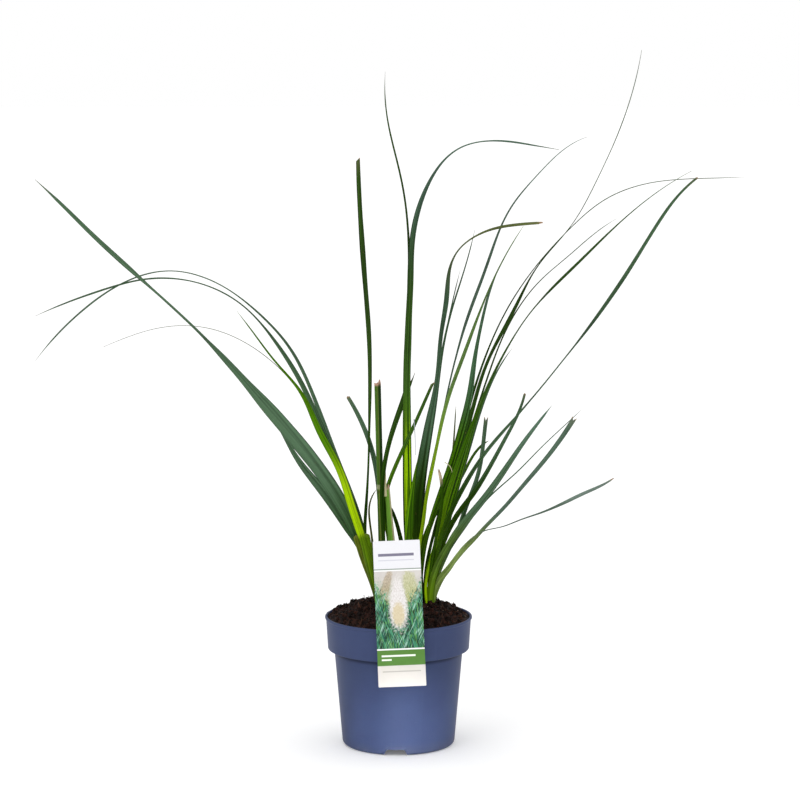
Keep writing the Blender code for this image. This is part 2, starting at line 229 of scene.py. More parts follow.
def mapped_grid(map_name, columns, rings):
    """A flat unit square of faces round the origin, with a UV map from 0 to 1."""
    bm = bmesh.new()
    flat_map = bm.loops.layers.uv.new(map_name)
    bmesh.ops.create_grid(bm, x_segments=columns, y_segments=rings, size=0.5)
    for face in bm.faces:
        for loop in face.loops:
            loop[flat_map].uv = (loop.vert.co.x + 0.5, loop.vert.co.y + 0.5)
    return bm


def toned_mesh():
    """An empty bmesh and its layer of tones, one number for each point."""
    bm = bmesh.new()
    return bm, bm.verts.layers.float.new("tone")


def smooth_step(value, low, high):
    """The share of the way from low to high, eased at both ends."""
    share = np.clip((value - low) / (high - low), 0, 1)
    return share * share * (3 - 2 * share)


# %% [markdown]
# ## Floor and light
# Nursery pictures are taken in a white tent. A white world lights the plant evenly
# from all sides, and a large soft lamp up on the left gives the leaves some shape.
# Two smaller lamps in front lift the pot, one of them low and narrow for its foot.
# The white floor is wide enough that its edge melts into the world.

# %% Floor, world and lamps
WHITE = (1.0, 1.0, 1.0)
FLOOR_RADIUS = 60
floor_look = Finish("floor_paper", Roughness=0.9, Emission_Strength=0.10)
grain = floor_look.cloud(floor_look.place(), 6.0)
paper = floor_look.mix(grain * 0.2, WHITE, (0.97, 0.97, 0.97))
floor_look.use("Base Color", paper)
floor_look.use("Emission Color", paper)
bm = bmesh.new()
bmesh.ops.create_circle(bm, cap_ends=True, segments=64, radius=FLOOR_RADIUS)
floor = finish_piece(bm, "floor", [floor_look], part_of_object=False)

world = bpy.data.worlds.new("white_tent")
world.use_nodes = True
background = world.node_tree.nodes["Background"]
background.inputs["Color"].default_value = (*WHITE, 1.0)
background.inputs["Strength"].default_value = 1.0
bpy.context.scene.world = world


def add_lamp(name, place, target, size, watts, spread=180):
    """A round area lamp; spread is the angle of its beam in degrees."""
    data = bpy.data.lights.new(name, "AREA")
    data.shape = "DISK"
    data.spread = math.radians(spread)
    data.size = size
    data.energy = watts
    lamp = bpy.data.objects.new(name, data)
    lamp.location = place
    aim = Vector(target) - Vector(place)
    lamp.rotation_euler = aim.to_track_quat("-Z", "Y").to_euler()
    lamp.visible_camera = False
    bpy.context.collection.objects.link(lamp)


add_lamp("key_lamp", (-1.6, -2.2, 2.6), (0, 0, 0.4), 1.6, 14)
add_lamp("front_lamp", (0.1, -4.0, 0.30), (0, 0, 0.05), 0.7, 12)
add_lamp("low_lamp", (0.03, -1.7, 0.02), (0.004, 0, 0.015), 0.10, 0.078, spread=6)
print("stage ready")

# %% [markdown]
# ## The pot
# The pot is moulded from thin polypropylene: a tapered body, a ledge, a wider band
# and a rolled bead round the mouth. Spinning one outline makes the whole wall, inside
# and out. Its corners are then bevelled, because moulded plastic has no sharp edges.
# The drain notches and holes are cut last, with a boolean that is applied at once.

# %% The pot's shape
POT_STEPS = 144
POT_HEIGHT = pot_high.z
BEAD_RADIUS = pot_high.x
BEAD_HEIGHT = 2.6 * MM
BEAD_COVE = 0.8 * MM                # the slant under the bead
BAND_TOP_RADIUS = 83.9 * MM
BAND_FOOT_RADIUS = 81.6 * MM
BAND_FOOT_Z = 112 * MM
BODY_TOP_RADIUS = 74.2 * MM
BODY_FOOT_RADIUS = 64.8 * MM
FOOT_FILLET = 4.5 * MM
FLOOR_Z = 6.5 * MM
WALL = 1.5 * MM
STEP_RISE = 1.6 * MM
FOOT_RING_WIDTH = 3 * MM
PAD_RADIUS = 14 * MM
NOTCH_ANGLES = (-93, 27, 147)
NOTCH_HALF = 13.5 * MM
NOTCH_SLANT = 3.5 * MM
NOTCH_HEIGHT = 7 * MM
DRAIN_ANGLES = range(30, 390, 60)
DRAIN_RING = 40 * MM                # how far the drain holes are from the axis
DRAIN_RADIUS = 5 * MM
CUTTER_LENGTH = 30 * MM             # longer than the foot ring is wide
CUTTER_DEPTH = 20 * MM              # deeper than the pot floor is thick


def body_radius(z):
    """Outer radius of the tapered body below the band."""
    return BODY_FOOT_RADIUS + (BODY_TOP_RADIUS - BODY_FOOT_RADIUS) * z / BAND_FOOT_Z


def band_radius(z):
    """Outer radius of the band above the ledge."""
    share = (z - BAND_FOOT_Z) / (POT_HEIGHT - BAND_FOOT_Z)
    return BAND_FOOT_RADIUS + (BAND_TOP_RADIUS - BAND_FOOT_RADIUS) * share


def pot_outline():
    """The wall's outline: from the floor up inside, over the bead and down outside."""
    floor_top = FLOOR_Z + WALL
    ledge = BAND_FOOT_Z + WALL
    bead_foot = POT_HEIGHT - BEAD_HEIGHT
    foot = body_radius(0) - FOOT_FILLET - FOOT_RING_WIDTH
    return [
        (0, floor_top),
        (body_radius(floor_top) - WALL, floor_top),
        (body_radius(ledge) - WALL, ledge),
        (band_radius(ledge) - WALL, ledge + STEP_RISE),
        (band_radius(POT_HEIGHT) - WALL, POT_HEIGHT),
        (BEAD_RADIUS, POT_HEIGHT),
        (BEAD_RADIUS, bead_foot),
        (band_radius(bead_foot), bead_foot - BEAD_COVE),
        (BAND_FOOT_RADIUS, BAND_FOOT_Z),
        (BODY_TOP_RADIUS, BAND_FOOT_Z - STEP_RISE),
        (body_radius(0), 0),
        (foot, 0),
        (foot, FLOOR_Z),
        (PAD_RADIUS, FLOOR_Z),
        (PAD_RADIUS - 1 * MM, 0),
        (0, 0),
    ]


def bevel_rings(bm, radius, z, offset, segments):
    """Rounds the ring of edges that runs at that radius and height."""
    ring = [edge for edge in bm.edges if all(
        abs(vert.co.z - z) < 1e-5 and abs(vert.co.xy.length - radius) < 1e-5
        for vert in edge.verts)]
    bmesh.ops.bevel(bm, geom=ring, offset=offset, segments=segments, profile=0.5,
                    affect="EDGES", material=-1, clamp_overlap=True)


def cut_away(piece, cutter_bm):
    """Cuts a shape out of a piece and keeps the cut mesh."""
    data = bpy.data.meshes.new("cutter")
    cutter_bm.to_mesh(data)
    cutter_bm.free()
    cutter = bpy.data.objects.new("cutter", data)
    bpy.context.collection.objects.link(cutter)
    boolean = piece.modifiers.new("cut", "BOOLEAN")
    boolean.operation = "DIFFERENCE"
    boolean.object = cutter
    boolean.solver = "EXACT"
    current = bpy.context.evaluated_depsgraph_get()
    cut = bpy.data.meshes.new_from_object(piece.evaluated_get(current))
    piece.modifiers.clear()
    piece.data = cut
    bpy.data.objects.remove(cutter, do_unlink=True)


def pot_cutters():
    """The notches through the foot ring and the holes in the floor."""
    bm = bmesh.new()
    for angle in NOTCH_ANGLES:
        made = bmesh.ops.create_cube(bm, size=1)["verts"]
        for vert in made:
            half = NOTCH_HALF + (-NOTCH_SLANT if vert.co.z > 0 else NOTCH_SLANT)
            vert.co.x = BODY_FOOT_RADIUS - FOOT_RING_WIDTH + vert.co.x * CUTTER_LENGTH
            vert.co.y = math.copysign(half, vert.co.y)
            vert.co.z = math.copysign(NOTCH_HEIGHT, vert.co.z)
        upright = [edge for edge in bm.edges if all(v in made for v in edge.verts)
                   and all(v.co.z > 0 for v in edge.verts)
                   and abs(edge.verts[0].co.x - edge.verts[1].co.x) > 10 * MM]
        rounded = bmesh.ops.bevel(bm, geom=upright, offset=1.2 * MM, segments=4, profile=0.5,
                                  affect="EDGES", material=-1)["verts"]
        shape = {vert for vert in made if vert.is_valid} | set(rounded)
        bmesh.ops.rotate(bm, verts=list(shape), cent=(0, 0, 0),
                         matrix=Matrix.Rotation(math.radians(angle), 3, "Z"))
    for angle in DRAIN_ANGLES:
        turn = math.radians(angle)
        place = (DRAIN_RING * math.cos(turn), DRAIN_RING * math.sin(turn), FLOOR_Z)
        bmesh.ops.create_cone(bm, cap_ends=True, segments=32, radius1=DRAIN_RADIUS,
                              radius2=DRAIN_RADIUS, depth=CUTTER_DEPTH,
                              matrix=Matrix.Translation(place))
    return bm


# %% [markdown]
# ### The pot's finish
# The plastic is a greyed blue with a satin surface. It gets faint clouds in the
# pigment, fine flow lines down the wall, light scuffs, dark specks, and a little dust
# at the foot. The corner under the band is darkened with painted shade, and the band
# itself is paler.

# %% The pot's finish
def pot_finish():
    """Greyed blue plastic, worn where it is handled and stood, with painted shade under the ledge.
    """
    look = Finish("pot_plastic", IOR=1.46, Specular_IOR_Level=0.08)
    place = look.place()
    height = look.node("ShaderNodeSeparateXYZ", None, {"Vector": place}, out="Z")
    pigment = look.cloud(place, 14.0, 4.0)
    flow = look.cloud(look.stretch(place, (90.0, 90.0, 5.0)), 1.0, 2.0)
    colour = look.mix(look.step(pigment, 0.3, 0.7), (0.034, 0.047, 0.106), (0.039, 0.054, 0.121))
    colour = look.mix(look.step(flow, 0.55, 0.75) * 0.25, colour, (0.049, 0.067, 0.145))
    scratch = look.cloud(look.stretch(place, (30.0, 30.0, 260.0)), 1.0, 3.0, 0.7)
    patch = look.cloud(place, 22.0, 2.0)
    scuff = look.step(scratch, 0.64, 0.74) * look.step(patch, 0.52, 0.66)
    colour = look.mix(scuff * 0.25, colour, (0.10, 0.12, 0.22))
    dust = look.step(height, 0.016, 0.0) * look.step(pigment, 0.35, 0.65)
    colour = look.mix(dust * 0.30, colour, (0.10, 0.10, 0.12))
    speck = look.specks(420.0, 0.70, 0.78)
    colour = look.mix(speck * 0.35, colour, (0.012, 0.016, 0.04))
    above = height - BAND_FOOT_Z
    # painted shade: the corner just under the ledge is darkened, where the ledge would cast its
    # shadow
    ledge_painted_shade = look.step(above, -7.0 * MM, -2.8 * MM) * look.step(above, 0.2 * MM, -1.0 * MM)
    band = look.step(above, -0.8 * MM, 0.4 * MM)
    colour = look.scale(colour, 1 - ledge_painted_shade * 0.55 + band * 0.14)
    look.use("Base Color", colour)
    look.use("Roughness", 0.40 + flow * 0.10 + scuff * 0.2)
    fine = look.cloud(place, 900.0, 2.0)
    look.bump(fine * 0.35 + flow * 0.65, 0.00012, 0.6)
    return look


bm = bmesh.new()
lathe(bm, pot_outline(), POT_STEPS)
bead_foot = POT_HEIGHT - BEAD_HEIGHT
bevel_rings(bm, BEAD_RADIUS, POT_HEIGHT, 1.1 * MM, 4)
bevel_rings(bm, band_radius(POT_HEIGHT) - WALL, POT_HEIGHT, 0.6 * MM, 3)
bevel_rings(bm, BEAD_RADIUS, bead_foot, 0.7 * MM, 3)
bevel_rings(bm, band_radius(bead_foot), bead_foot - BEAD_COVE, 0.5 * MM, 3)
bevel_rings(bm, BAND_FOOT_RADIUS, BAND_FOOT_Z, 1.1 * MM, 4)
bevel_rings(bm, BODY_TOP_RADIUS, BAND_FOOT_Z - STEP_RISE, 1.0 * MM, 3)
bevel_rings(bm, body_radius(0), 0, FOOT_FILLET, 6)
pot = finish_piece(bm, "pot_shell", [pot_finish()], ["pot"], smooth=30)
cut_away(pot, pot_cutters())
print("pot:", len(pot.data.polygons), "faces")

# %% [markdown]
# ## The peat
# The peat fills the pot and heaps up in the middle. Its plug is spun like the pot and
# then roughened with fractal noise. Loose crumbs, fibres and a few pale grains are
# scattered on top, because a skyline of real lumps is what makes it look like peat.

# %% The peat plug
PEAT_WALL_Z = 148 * MM
PEAT_CROWN = 19 * MM
PEAT_INSET = WALL + 0.6 * MM
peat_rim = band_radius(PEAT_WALL_Z) - PEAT_INSET


def peat_height(x, y, fullness=2.7):
    """The smooth height of the peat, before any lumps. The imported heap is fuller."""
    reach = min(math.hypot(x, y) / peat_rim, 1)
    return PEAT_WALL_Z + PEAT_CROWN * (1 - reach ** fullness)


def lump(x, y):
    """How far the rough peat stands above its smooth height."""
    point = Vector((x, y, 0))
    coarse = noise.fractal(point * 70, 0.9, 2.1, 3)
    fine = noise.fractal(point * 260, 0.8, 2.1, 3)
    fade = 0.35 + 0.65 * float(smooth_step(peat_rim - math.hypot(x, y), 0, 0.012))
    return (coarse * 2.4 + fine * 1.8) * MM * fade


def peat_outline():
    """The plug's outline: the crown from its middle, then down inside the wall."""
    floor_top = FLOOR_Z + WALL + 0.3 * MM
    ledge = BAND_FOOT_Z + PEAT_INSET
    crown = [(peat_rim * share, peat_height(peat_rim * share, 0))
             for share in np.linspace(0, 1, 90) ** 0.8]
    return crown + [
        (band_radius(ledge) - PEAT_INSET, ledge + STEP_RISE),
        (body_radius(ledge) - PEAT_INSET, ledge),
        (body_radius(floor_top) - PEAT_INSET, floor_top),
        (0, floor_top),
    ]


def peat_finish(name, tone_of):
    """Dark peat: wet black-brown, with rust flecks. tone_of gives a wire from 0 to 1."""
    look = Finish(name, Specular_IOR_Level=0.12)
    place = look.place()
    tone = tone_of(look, place)
    colour = look.mix(tone, (0.0035, 0.0014, 0.0009), (0.050, 0.017, 0.011))
    rust = look.step(look.cloud(place, 700.0, 3.0), 0.60, 0.72)
    colour = look.mix(rust * 0.6, colour, (0.080, 0.022, 0.014))
    pale = look.specks(330.0, 0.70, 0.76)
    colour = look.mix(pale * 0.25, colour, (0.14, 0.075, 0.05))
    look.use("Base Color", colour)
    look.use("Roughness", 0.72 + rust * 0.2)
    look.bump(look.cloud(place, 900.0, 4.0, 0.7), 0.0006)
    return look


plug_look = peat_finish("peat_plug", lambda look, place: look.step(
    look.cloud(place, 130.0, 4.0, 0.65), 0.45, 0.75))
bm = bmesh.new()
lathe(bm, peat_outline(), 220)
for vert in bm.verts:
    if vert.co.z > PEAT_WALL_Z - 0.01 * MM:
        vert.co.z += lump(vert.co.x, vert.co.y)
plug = finish_piece(bm, "peat_plug", [plug_look], ["peat"], smooth=80)
print("peat plug:", len(plug.data.polygons), "faces")

# %% [markdown]
# ### Crumbs, fibres and grains
# Every crumb is a small icosphere whose points are pushed about, so no two are alike.
# Each also stores one random tone for its colour. Fibres are slim tapered rods that
# lie on the surface, and the grains are the white mineral beads in potting mix.

# %% Scatter on the peat
chance = np.random.default_rng(11)
CRUMBS = 2600
LUMPS = 300
FIBRES = 520
GRAINS = 26


def scatter_place(edge):
    """A random point on the peat, within edge times its radius."""
    reach = peat_rim * edge * math.sqrt(chance.random())
    turn = chance.random() * math.tau
    x, y = reach * math.cos(turn), reach * math.sin(turn)
    return Vector((x, y, peat_height(x, y) + lump(x, y)))


def add_crumb(bm, place, size, detail, tone):
    """One uneven crumb. tone is the layer to store in and the number to store."""
    turn = Matrix.Rotation(chance.random() * math.tau, 4, chance.normal(size=3))
    squash = Matrix.Diagonal((*chance.uniform(0.55, 1.15, 3), 1))
    where = Matrix.Translation(place) @ turn @ squash
    made = bmesh.ops.create_icosphere(bm, subdivisions=detail, radius=size, matrix=where)
    for vert in made["verts"]:
        vert.co += Vector(chance.normal(size=3)) * size * 0.20
        vert[tone[0]] = tone[1]


def add_fibre(bm, place, length, thick, tone):
    """One slim rod that lies near the level, thick at its start."""
    way = Matrix.Rotation(chance.random() * math.tau, 4, "Z")
    way = way @ Matrix.Rotation(math.radians(90 + chance.normal() * 34), 4, "Y")
    where = Matrix.Translation(place + Vector((0, 0, thick))) @ way
    made = bmesh.ops.create_cone(bm, cap_ends=True, segments=5, radius1=thick,
                                 radius2=thick * 0.4, depth=length, matrix=where)
    for vert in made["verts"]:
        vert.co += Vector(chance.normal(size=3)) * thick * 0.3
        vert[tone[0]] = tone[1]


crumb_look = peat_finish("peat_crumb", lambda look, place: look.stored("tone"))
bm, layer = toned_mesh()
for _ in range(CRUMBS):
    add_crumb(bm, scatter_place(0.985), chance.uniform(0.5, 1.5) * MM, 1,
              (layer, chance.random() ** 3))
for _ in range(LUMPS):
    size = chance.uniform(1.4, 2.8) * MM
    add_crumb(bm, scatter_place(0.95) + Vector((0, 0, size * 0.4)), size, 2,
              (layer, chance.random() ** 3))
crumbs = finish_piece(bm, "peat_crumbs", [crumb_look], smooth=50)

fibre_look = Finish("peat_fibre", Roughness=0.8, Specular_IOR_Level=0.15)
tone = fibre_look.stored("tone")
fleck = fibre_look.cloud(fibre_look.place(), 600.0)
shade = fibre_look.mix(tone, (0.008, 0.003, 0.002), (0.11, 0.042, 0.022))
fibre_look.use("Base Color", fibre_look.mix(fleck * 0.5, shade, (0.05, 0.03, 0.018)))
bm, layer = toned_mesh()
for _ in range(FIBRES):
    add_fibre(bm, scatter_place(0.96), chance.uniform(3, 12) * MM,
              chance.uniform(0.2, 0.6) * MM, (layer, chance.random() ** 1.5))
fibres = finish_piece(bm, "peat_fibres", [fibre_look])

grain_look = Finish("peat_grain", Roughness=0.85)
dirt = grain_look.cloud(grain_look.place(), 900.0)
grain_look.use("Base Color", grain_look.mix(
    grain_look.step(dirt, 0.4, 0.62), (0.42, 0.33, 0.24), (0.16, 0.10, 0.06)))
bm, layer = toned_mesh()
for _ in range(GRAINS):
    add_crumb(bm, scatter_place(0.96), chance.uniform(0.35, 0.9) * MM, 2, (layer, 1.0))
finish_piece(bm, "peat_grains", [grain_look], smooth=60)
print("crumbs:", len(crumbs.data.polygons), "fibres:", len(fibres.data.polygons))

# %% [markdown]
# ## The plant label
# A label is a punched card of stiff plastic film. It leans along the band, and its
# tongue hooks over the rim into the peat. The card is bevelled from a cube, so that
# its corners are round, and carries its own UV map for the print.

# %% The card and its tongue
LABEL_WIDTH = 54 * MM
LABEL_LENGTH = 170.5 * MM
LABEL_THICKNESS = 0.8 * MM
LABEL_FOOT_Z = 84.5 * MM
LABEL_TAPER = 0.03                  # how much narrower its top is
LABEL_TILT = 2.4                    # degrees it hangs out of plumb
LABEL_LEAN = 5.0                    # degrees its top leans out
LABEL_X = 1.8 * MM
LABEL_CLEAR = 0.8 * MM
TONGUE_WIDTH = 12 * MM
label_y = -(BEAD_RADIUS + LABEL_THICKNESS / 2 + LABEL_CLEAR)
label_below_rim = (POT_HEIGHT - LABEL_FOOT_Z) / math.cos(math.radians(LABEL_LEAN))
lean = Matrix.Rotation(math.radians(LABEL_LEAN), 4, "X")
tilt = Matrix.Rotation(math.radians(-LABEL_TILT), 4, "Y")
label_place = Matrix.Translation((LABEL_X, label_y, POT_HEIGHT)) @ tilt @ lean


def card_mesh():
    """The card in its own plane: x across, z up from the rim, print towards -y."""
    bm = bmesh.new()
    size = Matrix.Diagonal((LABEL_WIDTH, LABEL_THICKNESS, LABEL_LENGTH, 1))
    middle = Matrix.Translation((0, 0, LABEL_LENGTH / 2 - label_below_rim))
    bmesh.ops.create_cube(bm, size=1, matrix=middle @ size)
    corners = [edge for edge in bm.edges if abs(edge.verts[0].co.y - edge.verts[1].co.y) > 1e-5]
    bmesh.ops.bevel(bm, geom=corners, offset=1.0 * MM, segments=4, profile=0.5,
                    affect="EDGES", material=-1)
    print_map = bm.loops.layers.uv.new("print")
    for face in bm.faces:
        face.material_index = 0 if face.normal.y < -0.9 else 1
        for loop in face.loops:
            loop[print_map].uv = (loop.vert.co.x / LABEL_WIDTH + 0.5,
                                  (loop.vert.co.z + label_below_rim) / LABEL_LENGTH)
    for vert in bm.verts:
        vert.co.x *= 1 - LABEL_TAPER * (vert.co.z + label_below_rim) / LABEL_LENGTH
    return bm


def add_tongue(bm):
    """The strip that leaves the card's back, crosses the rim and dips into the peat."""
    bend = [(0.2, 1.9), (1.6, 2.6), (3.2, 2.5), (4.5, 1.7), (5.0, 0.3), (5.1, -2.0), (5.1, -4.4)]
    start = [bm.verts.new((-TONGUE_WIDTH / 2, y * MM, z * MM)) for y, z in bend]
    strip = [bm.edges.new(pair) for pair in zip(start, start[1:])]
    made = bmesh.ops.extrude_edge_only(bm, edges=strip)["geom"]
    moved = [item for item in made if isinstance(item, bmesh.types.BMVert)]
    bmesh.ops.translate(bm, verts=moved, vec=(TONGUE_WIDTH, 0, 0))
    faces = [item for item in made if isinstance(item, bmesh.types.BMFace)]
    bmesh.ops.solidify(bm, geom=faces, thickness=0.5 * MM)
    for vert in start + moved:
        for face in vert.link_faces:
            face.material_index = 1


# %% [markdown]
# ### The print
# The print is generic: a white header over a thin line, a loose picture of feathery
# plumes above blue-green blades, and a green and a cream band. Plain rules stand where
# a printer would set words. Each zone is a mask over the map's height, and the plumes
# are ovals with ragged, noisy edges.

# %% The print's finish
WHITE_CARD = (0.86, 0.86, 0.86)
Rule = namedtuple("Rule", "left right height half ink")
RULES = [
    Rule(0.10, 0.86, 0.905, 0.0090, (0.19, 0.18, 0.25)),
    Rule(0.10, 0.86, 0.868, 0.0030, (0.60, 0.60, 0.66)),
    Rule(0.09, 0.80, 0.214, 0.0060, (0.80, 0.86, 0.76)),
    Rule(0.09, 0.30, 0.187, 0.0055, (0.80, 0.86, 0.76)),
    Rule(0.10, 0.90, 0.106, 0.0040, (0.42, 0.40, 0.36)),
]


def plume(look, across, up, ragged, middle, size, slant=0.0, pointed=0.0):
    """The mask of one plume: an oval, drawn to a point above, whose edge noise tears."""
    high = (up - middle[1]) * (1 / size[1])
    x = (across - middle[0] - (up - middle[1]) * slant) * (1 / size[0])
    x = x * (1 + high * pointed)
    reach = (x * x + high * high) ** 0.5
    return look.step(reach + (ragged - 0.5) * 1.1, 1.12, 0.70)


def strokes(look, across, up, slant, seed):
    """Thin leaning strokes: the ridges of a noise that is stretched along them."""
    wave = look.cloud(look.point(across * 20 + up * slant, up * 5.0 - across, seed), 1.0, 1.0)
    return look.step(abs(wave - 0.5), 0.045, 0.005)


def bar(look, across, up, rule):
    """The mask of a plain rule, with just enough softness at its edges."""
    start = look.step(across, rule.left, rule.left + 0.004)
    end = look.step(across, rule.right + 0.004, rule.right)
    return start * end * look.step(abs(up - rule.height), rule.half + 0.001, rule.half)


def print_finish():
    """The printed face, from its picture to its plain zones and rules."""
    look = Finish("label_print", Roughness=0.3, IOR=1.45, Specular_IOR_Level=0.3)
    across, up = look.flat("print")

    def haze(columns, rows, detail=3.0, roughness=0.7):
        """Noise with about that many lumps across the card and up it."""
        return look.cloud(look.point(across * columns, up * rows), 1.0, detail, roughness)

    fluff = haze(24, 64, 3.0, 0.75)
    soft = haze(6, 14, 2.0, 0.55)
    hair = haze(60, 60)
    # hazy background
    sky = look.mix(look.step(up, 0.56, 0.78), (0.32, 0.38, 0.17), (0.66, 0.62, 0.59))
    sky = look.mix(look.step(soft, 0.4, 0.7) * 0.6, sky, (0.74, 0.71, 0.66))
    # the two plumes behind
    tan = look.mix(look.step(hair, 0.35, 0.65), (0.20, 0.12, 0.03), (0.60, 0.47, 0.28))
    yellow = look.mix(look.step(hair, 0.35, 0.65), (0.32, 0.34, 0.05), (0.68, 0.68, 0.34))
    tan_mask = plume(look, across, up, fluff, (0.24, 0.69), (0.10, 0.13), 0.9)
    yellow_mask = plume(look, across, up, fluff, (0.76, 0.67), (0.17, 0.14), -0.3)
    picture = look.mix(tan_mask * 0.6, sky, tan)
    picture = look.mix(yellow_mask * 0.6, picture, yellow)
    # blades
    left = strokes(look, across, up, 22.0, 1.0)
    right = strokes(look, across, up, -26.0, 4.0)
    steep = strokes(look, across, up, 6.0, 8.0)
    depth = haze(14, 24)
    blades = look.mix(look.step(depth, 0.42, 0.62), (0.004, 0.028, 0.018), (0.018, 0.150, 0.085))
    blades = look.mix(left * 0.8, blades, (0.060, 0.330, 0.190))
    blades = look.mix(steep * 0.7, blades, (0.120, 0.380, 0.080))
    blades = look.mix(right * 0.8 * look.step(soft, 0.40, 0.60), blades, (0.400, 0.700, 0.560))
    top = abs(across - 0.5) * 0.40 + 0.48
    edge = up + (hair - 0.5) * 0.20 + (fluff - 0.5) * 0.20 - left * 0.05 - right * 0.05 - top
    picture = look.mix(look.step(edge, 0.03, -0.03), picture, blades)
    # the plume in front
    middle = plume(look, across, up, fluff, (0.49, 0.575), (0.20, 0.19), 0.0, 0.25)
    white = look.mix(look.step(hair, 0.25, 0.6), (0.56, 0.50, 0.46), (0.88, 0.85, 0.84))
    heart = plume(look, across, up, hair, (0.49, 0.495), (0.14, 0.09))
    white = look.mix(heart * 0.6, white, (0.66, 0.52, 0.20))
    picture = look.mix(middle, picture, white)
    picture = look.scale(picture, 0.90)
    # plain zones, from the foot of the card up
    ink = haze(9, 30, 2.0, 0.55)
    cream_band = look.mix(ink, (0.600, 0.572, 0.535), (0.625, 0.597, 0.560))
    green_band = look.mix(ink, (0.075, 0.195, 0.028), (0.088, 0.220, 0.036))
    header = look.mix(ink, (0.76, 0.76, 0.79), (0.78, 0.78, 0.81))
    zones = [
        (0.1460, 0.1480, green_band),
        (0.2530, 0.2550, WHITE_CARD),
        (0.2630, 0.2650, picture),
        (0.7930, 0.7950, WHITE_CARD),
        (0.8030, 0.8045, (0.26, 0.31, 0.27)),
        (0.8100, 0.8120, header),
    ]
    colour = cream_band
    for low, high, zone in zones:
        colour = look.mix(look.step(up, low, high), colour, zone)
    for rule in RULES:
        colour = look.mix(bar(look, across, up, rule), colour, rule.ink)
    look.use("Base Color", colour)
    look.use("Roughness", 0.28 + ink * 0.12)
    look.bump(haze(60, 190, 3.0, 0.55), 0.00002)
    return look


def card_stock():
    """The unprinted film: edges, back and tongue."""
    look = Finish("label_stock", IOR=1.45)
    smear = look.cloud(look.place(), 60.0)
    look.use("Base Color", look.mix(smear, WHITE_CARD, (0.70, 0.70, 0.68)))
    look.use("Roughness", 0.34 + smear * 0.15)
    return look


bm = card_mesh()
bmesh.ops.transform(bm, matrix=label_place, verts=bm.verts)
tongue = bmesh.new()
add_tongue(tongue)
bmesh.ops.translate(tongue, verts=tongue.verts, vec=(LABEL_X, label_y, POT_HEIGHT))
strip = bpy.data.meshes.new("tongue")
tongue.to_mesh(strip)
tongue.free()
bm.from_mesh(strip)
label = finish_piece(bm, "plant_label", [print_finish(), card_stock()], ["label"])
print("label:", len(label.data.polygons), "faces")

# %% [markdown]
# ## The leaves
# A grass leaf is a long strip that wraps round the shoot at its foot and opens into a
# shallow V with a raised midrib. Each leaf bends in one upright plane, so its line is
# a list of angles from upright, read smoothly from foot to tip. Widths and twists are
# lists of the same kind. One grid, bent along that line, makes any leaf.

# %% How a leaf runs
LEAF_FOOT_LIFT = 3 * MM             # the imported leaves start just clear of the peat
LEAF_ROOT = 15 * MM                 # and here they reach down into it
PACKED_FULLNESS = 4.0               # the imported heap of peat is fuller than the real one
SPINE_STEPS = 240
FRONT = np.array([0.0, 1.0, 0.0])   # the way one looks at the front
SHOOT_MIDDLES = {"left": (-22, -13), "mid": (17, -1), "right": (34, 4)}
GATHERED = 0.6                      # how far outer feet are drawn to their shoot's middle
GATHER_TOP = 100 * MM


def along(values, share):
    """Values held at even stations, read smoothly at each share from 0 to 1."""
    held = np.asarray(values, float)
    last = len(held) - 1
    place = np.clip(np.asarray(share) * last, 0, last - 1e-9)
    index = place.astype(int)
    part = place - index
    slope = np.gradient(held)
    return (
        held[index] * (2 * part ** 3 - 3 * part ** 2 + 1)
        + held[index + 1] * (3 * part ** 2 - 2 * part ** 3)
        + slope[index] * (part ** 3 - 2 * part ** 2 + part)
        + slope[index + 1] * (part ** 3 - part ** 2)
    )


def leaf_line(leaf):
    """The leaf's middle line, its side directions and its upper-face directions."""
    step = leaf.length * MM / SPINE_STEPS
    lean_angle = np.radians(along(leaf.leans, (np.arange(SPINE_STEPS) + 0.5) / SPINE_STEPS))
    out = np.concatenate([[0], np.cumsum(np.sin(lean_angle) * step)])
    up = np.concatenate([[0], np.cumsum(np.cos(lean_angle) * step)])
    heading = math.radians(leaf.heading)
    x, y = (value * MM for value in leaf.foot)
    foot = np.array([x, y, peat_height(x, y, PACKED_FULLNESS) + LEAF_FOOT_LIFT])
    spine = foot + np.stack([out * math.cos(heading), out * math.sin(heading), up], axis=1)
    middle = SHOOT_MIDDLES.get(leaf.name.split("_")[1])
    if middle and abs(leaf.foot[0]) > abs(middle[0]):
        rise = np.linspace(0, leaf.length * MM, len(spine))
        drawn = GATHERED * (1 - smooth_step(rise, 0, GATHER_TOP))
        spine[:, :2] += drawn[:, None] * (np.array(middle) * MM - foot[:2])
    length_way = np.gradient(spine, axis=0)
    length_way /= np.linalg.norm(length_way, axis=1)[:, None]
    broadside = np.cross(length_way, FRONT)
    broadside /= np.linalg.norm(broadside, axis=1)[:, None]
    edgeways = np.cross(length_way, broadside)
    roll = np.radians(along(leaf.rolls, np.linspace(0, 1, len(spine))))[:, None]
    side = broadside * np.cos(roll) + edgeways * np.sin(roll)
    return spine, length_way, side, np.cross(length_way, side)


# %% [markdown]
# ### One blade
# Low down the section is a tube, the sheath, with its slit turned away from the front.
# It opens over a few centimetres into the V. The blade's edges ripple a little, and a
# cut or torn tip is made by pulling points back from the end.

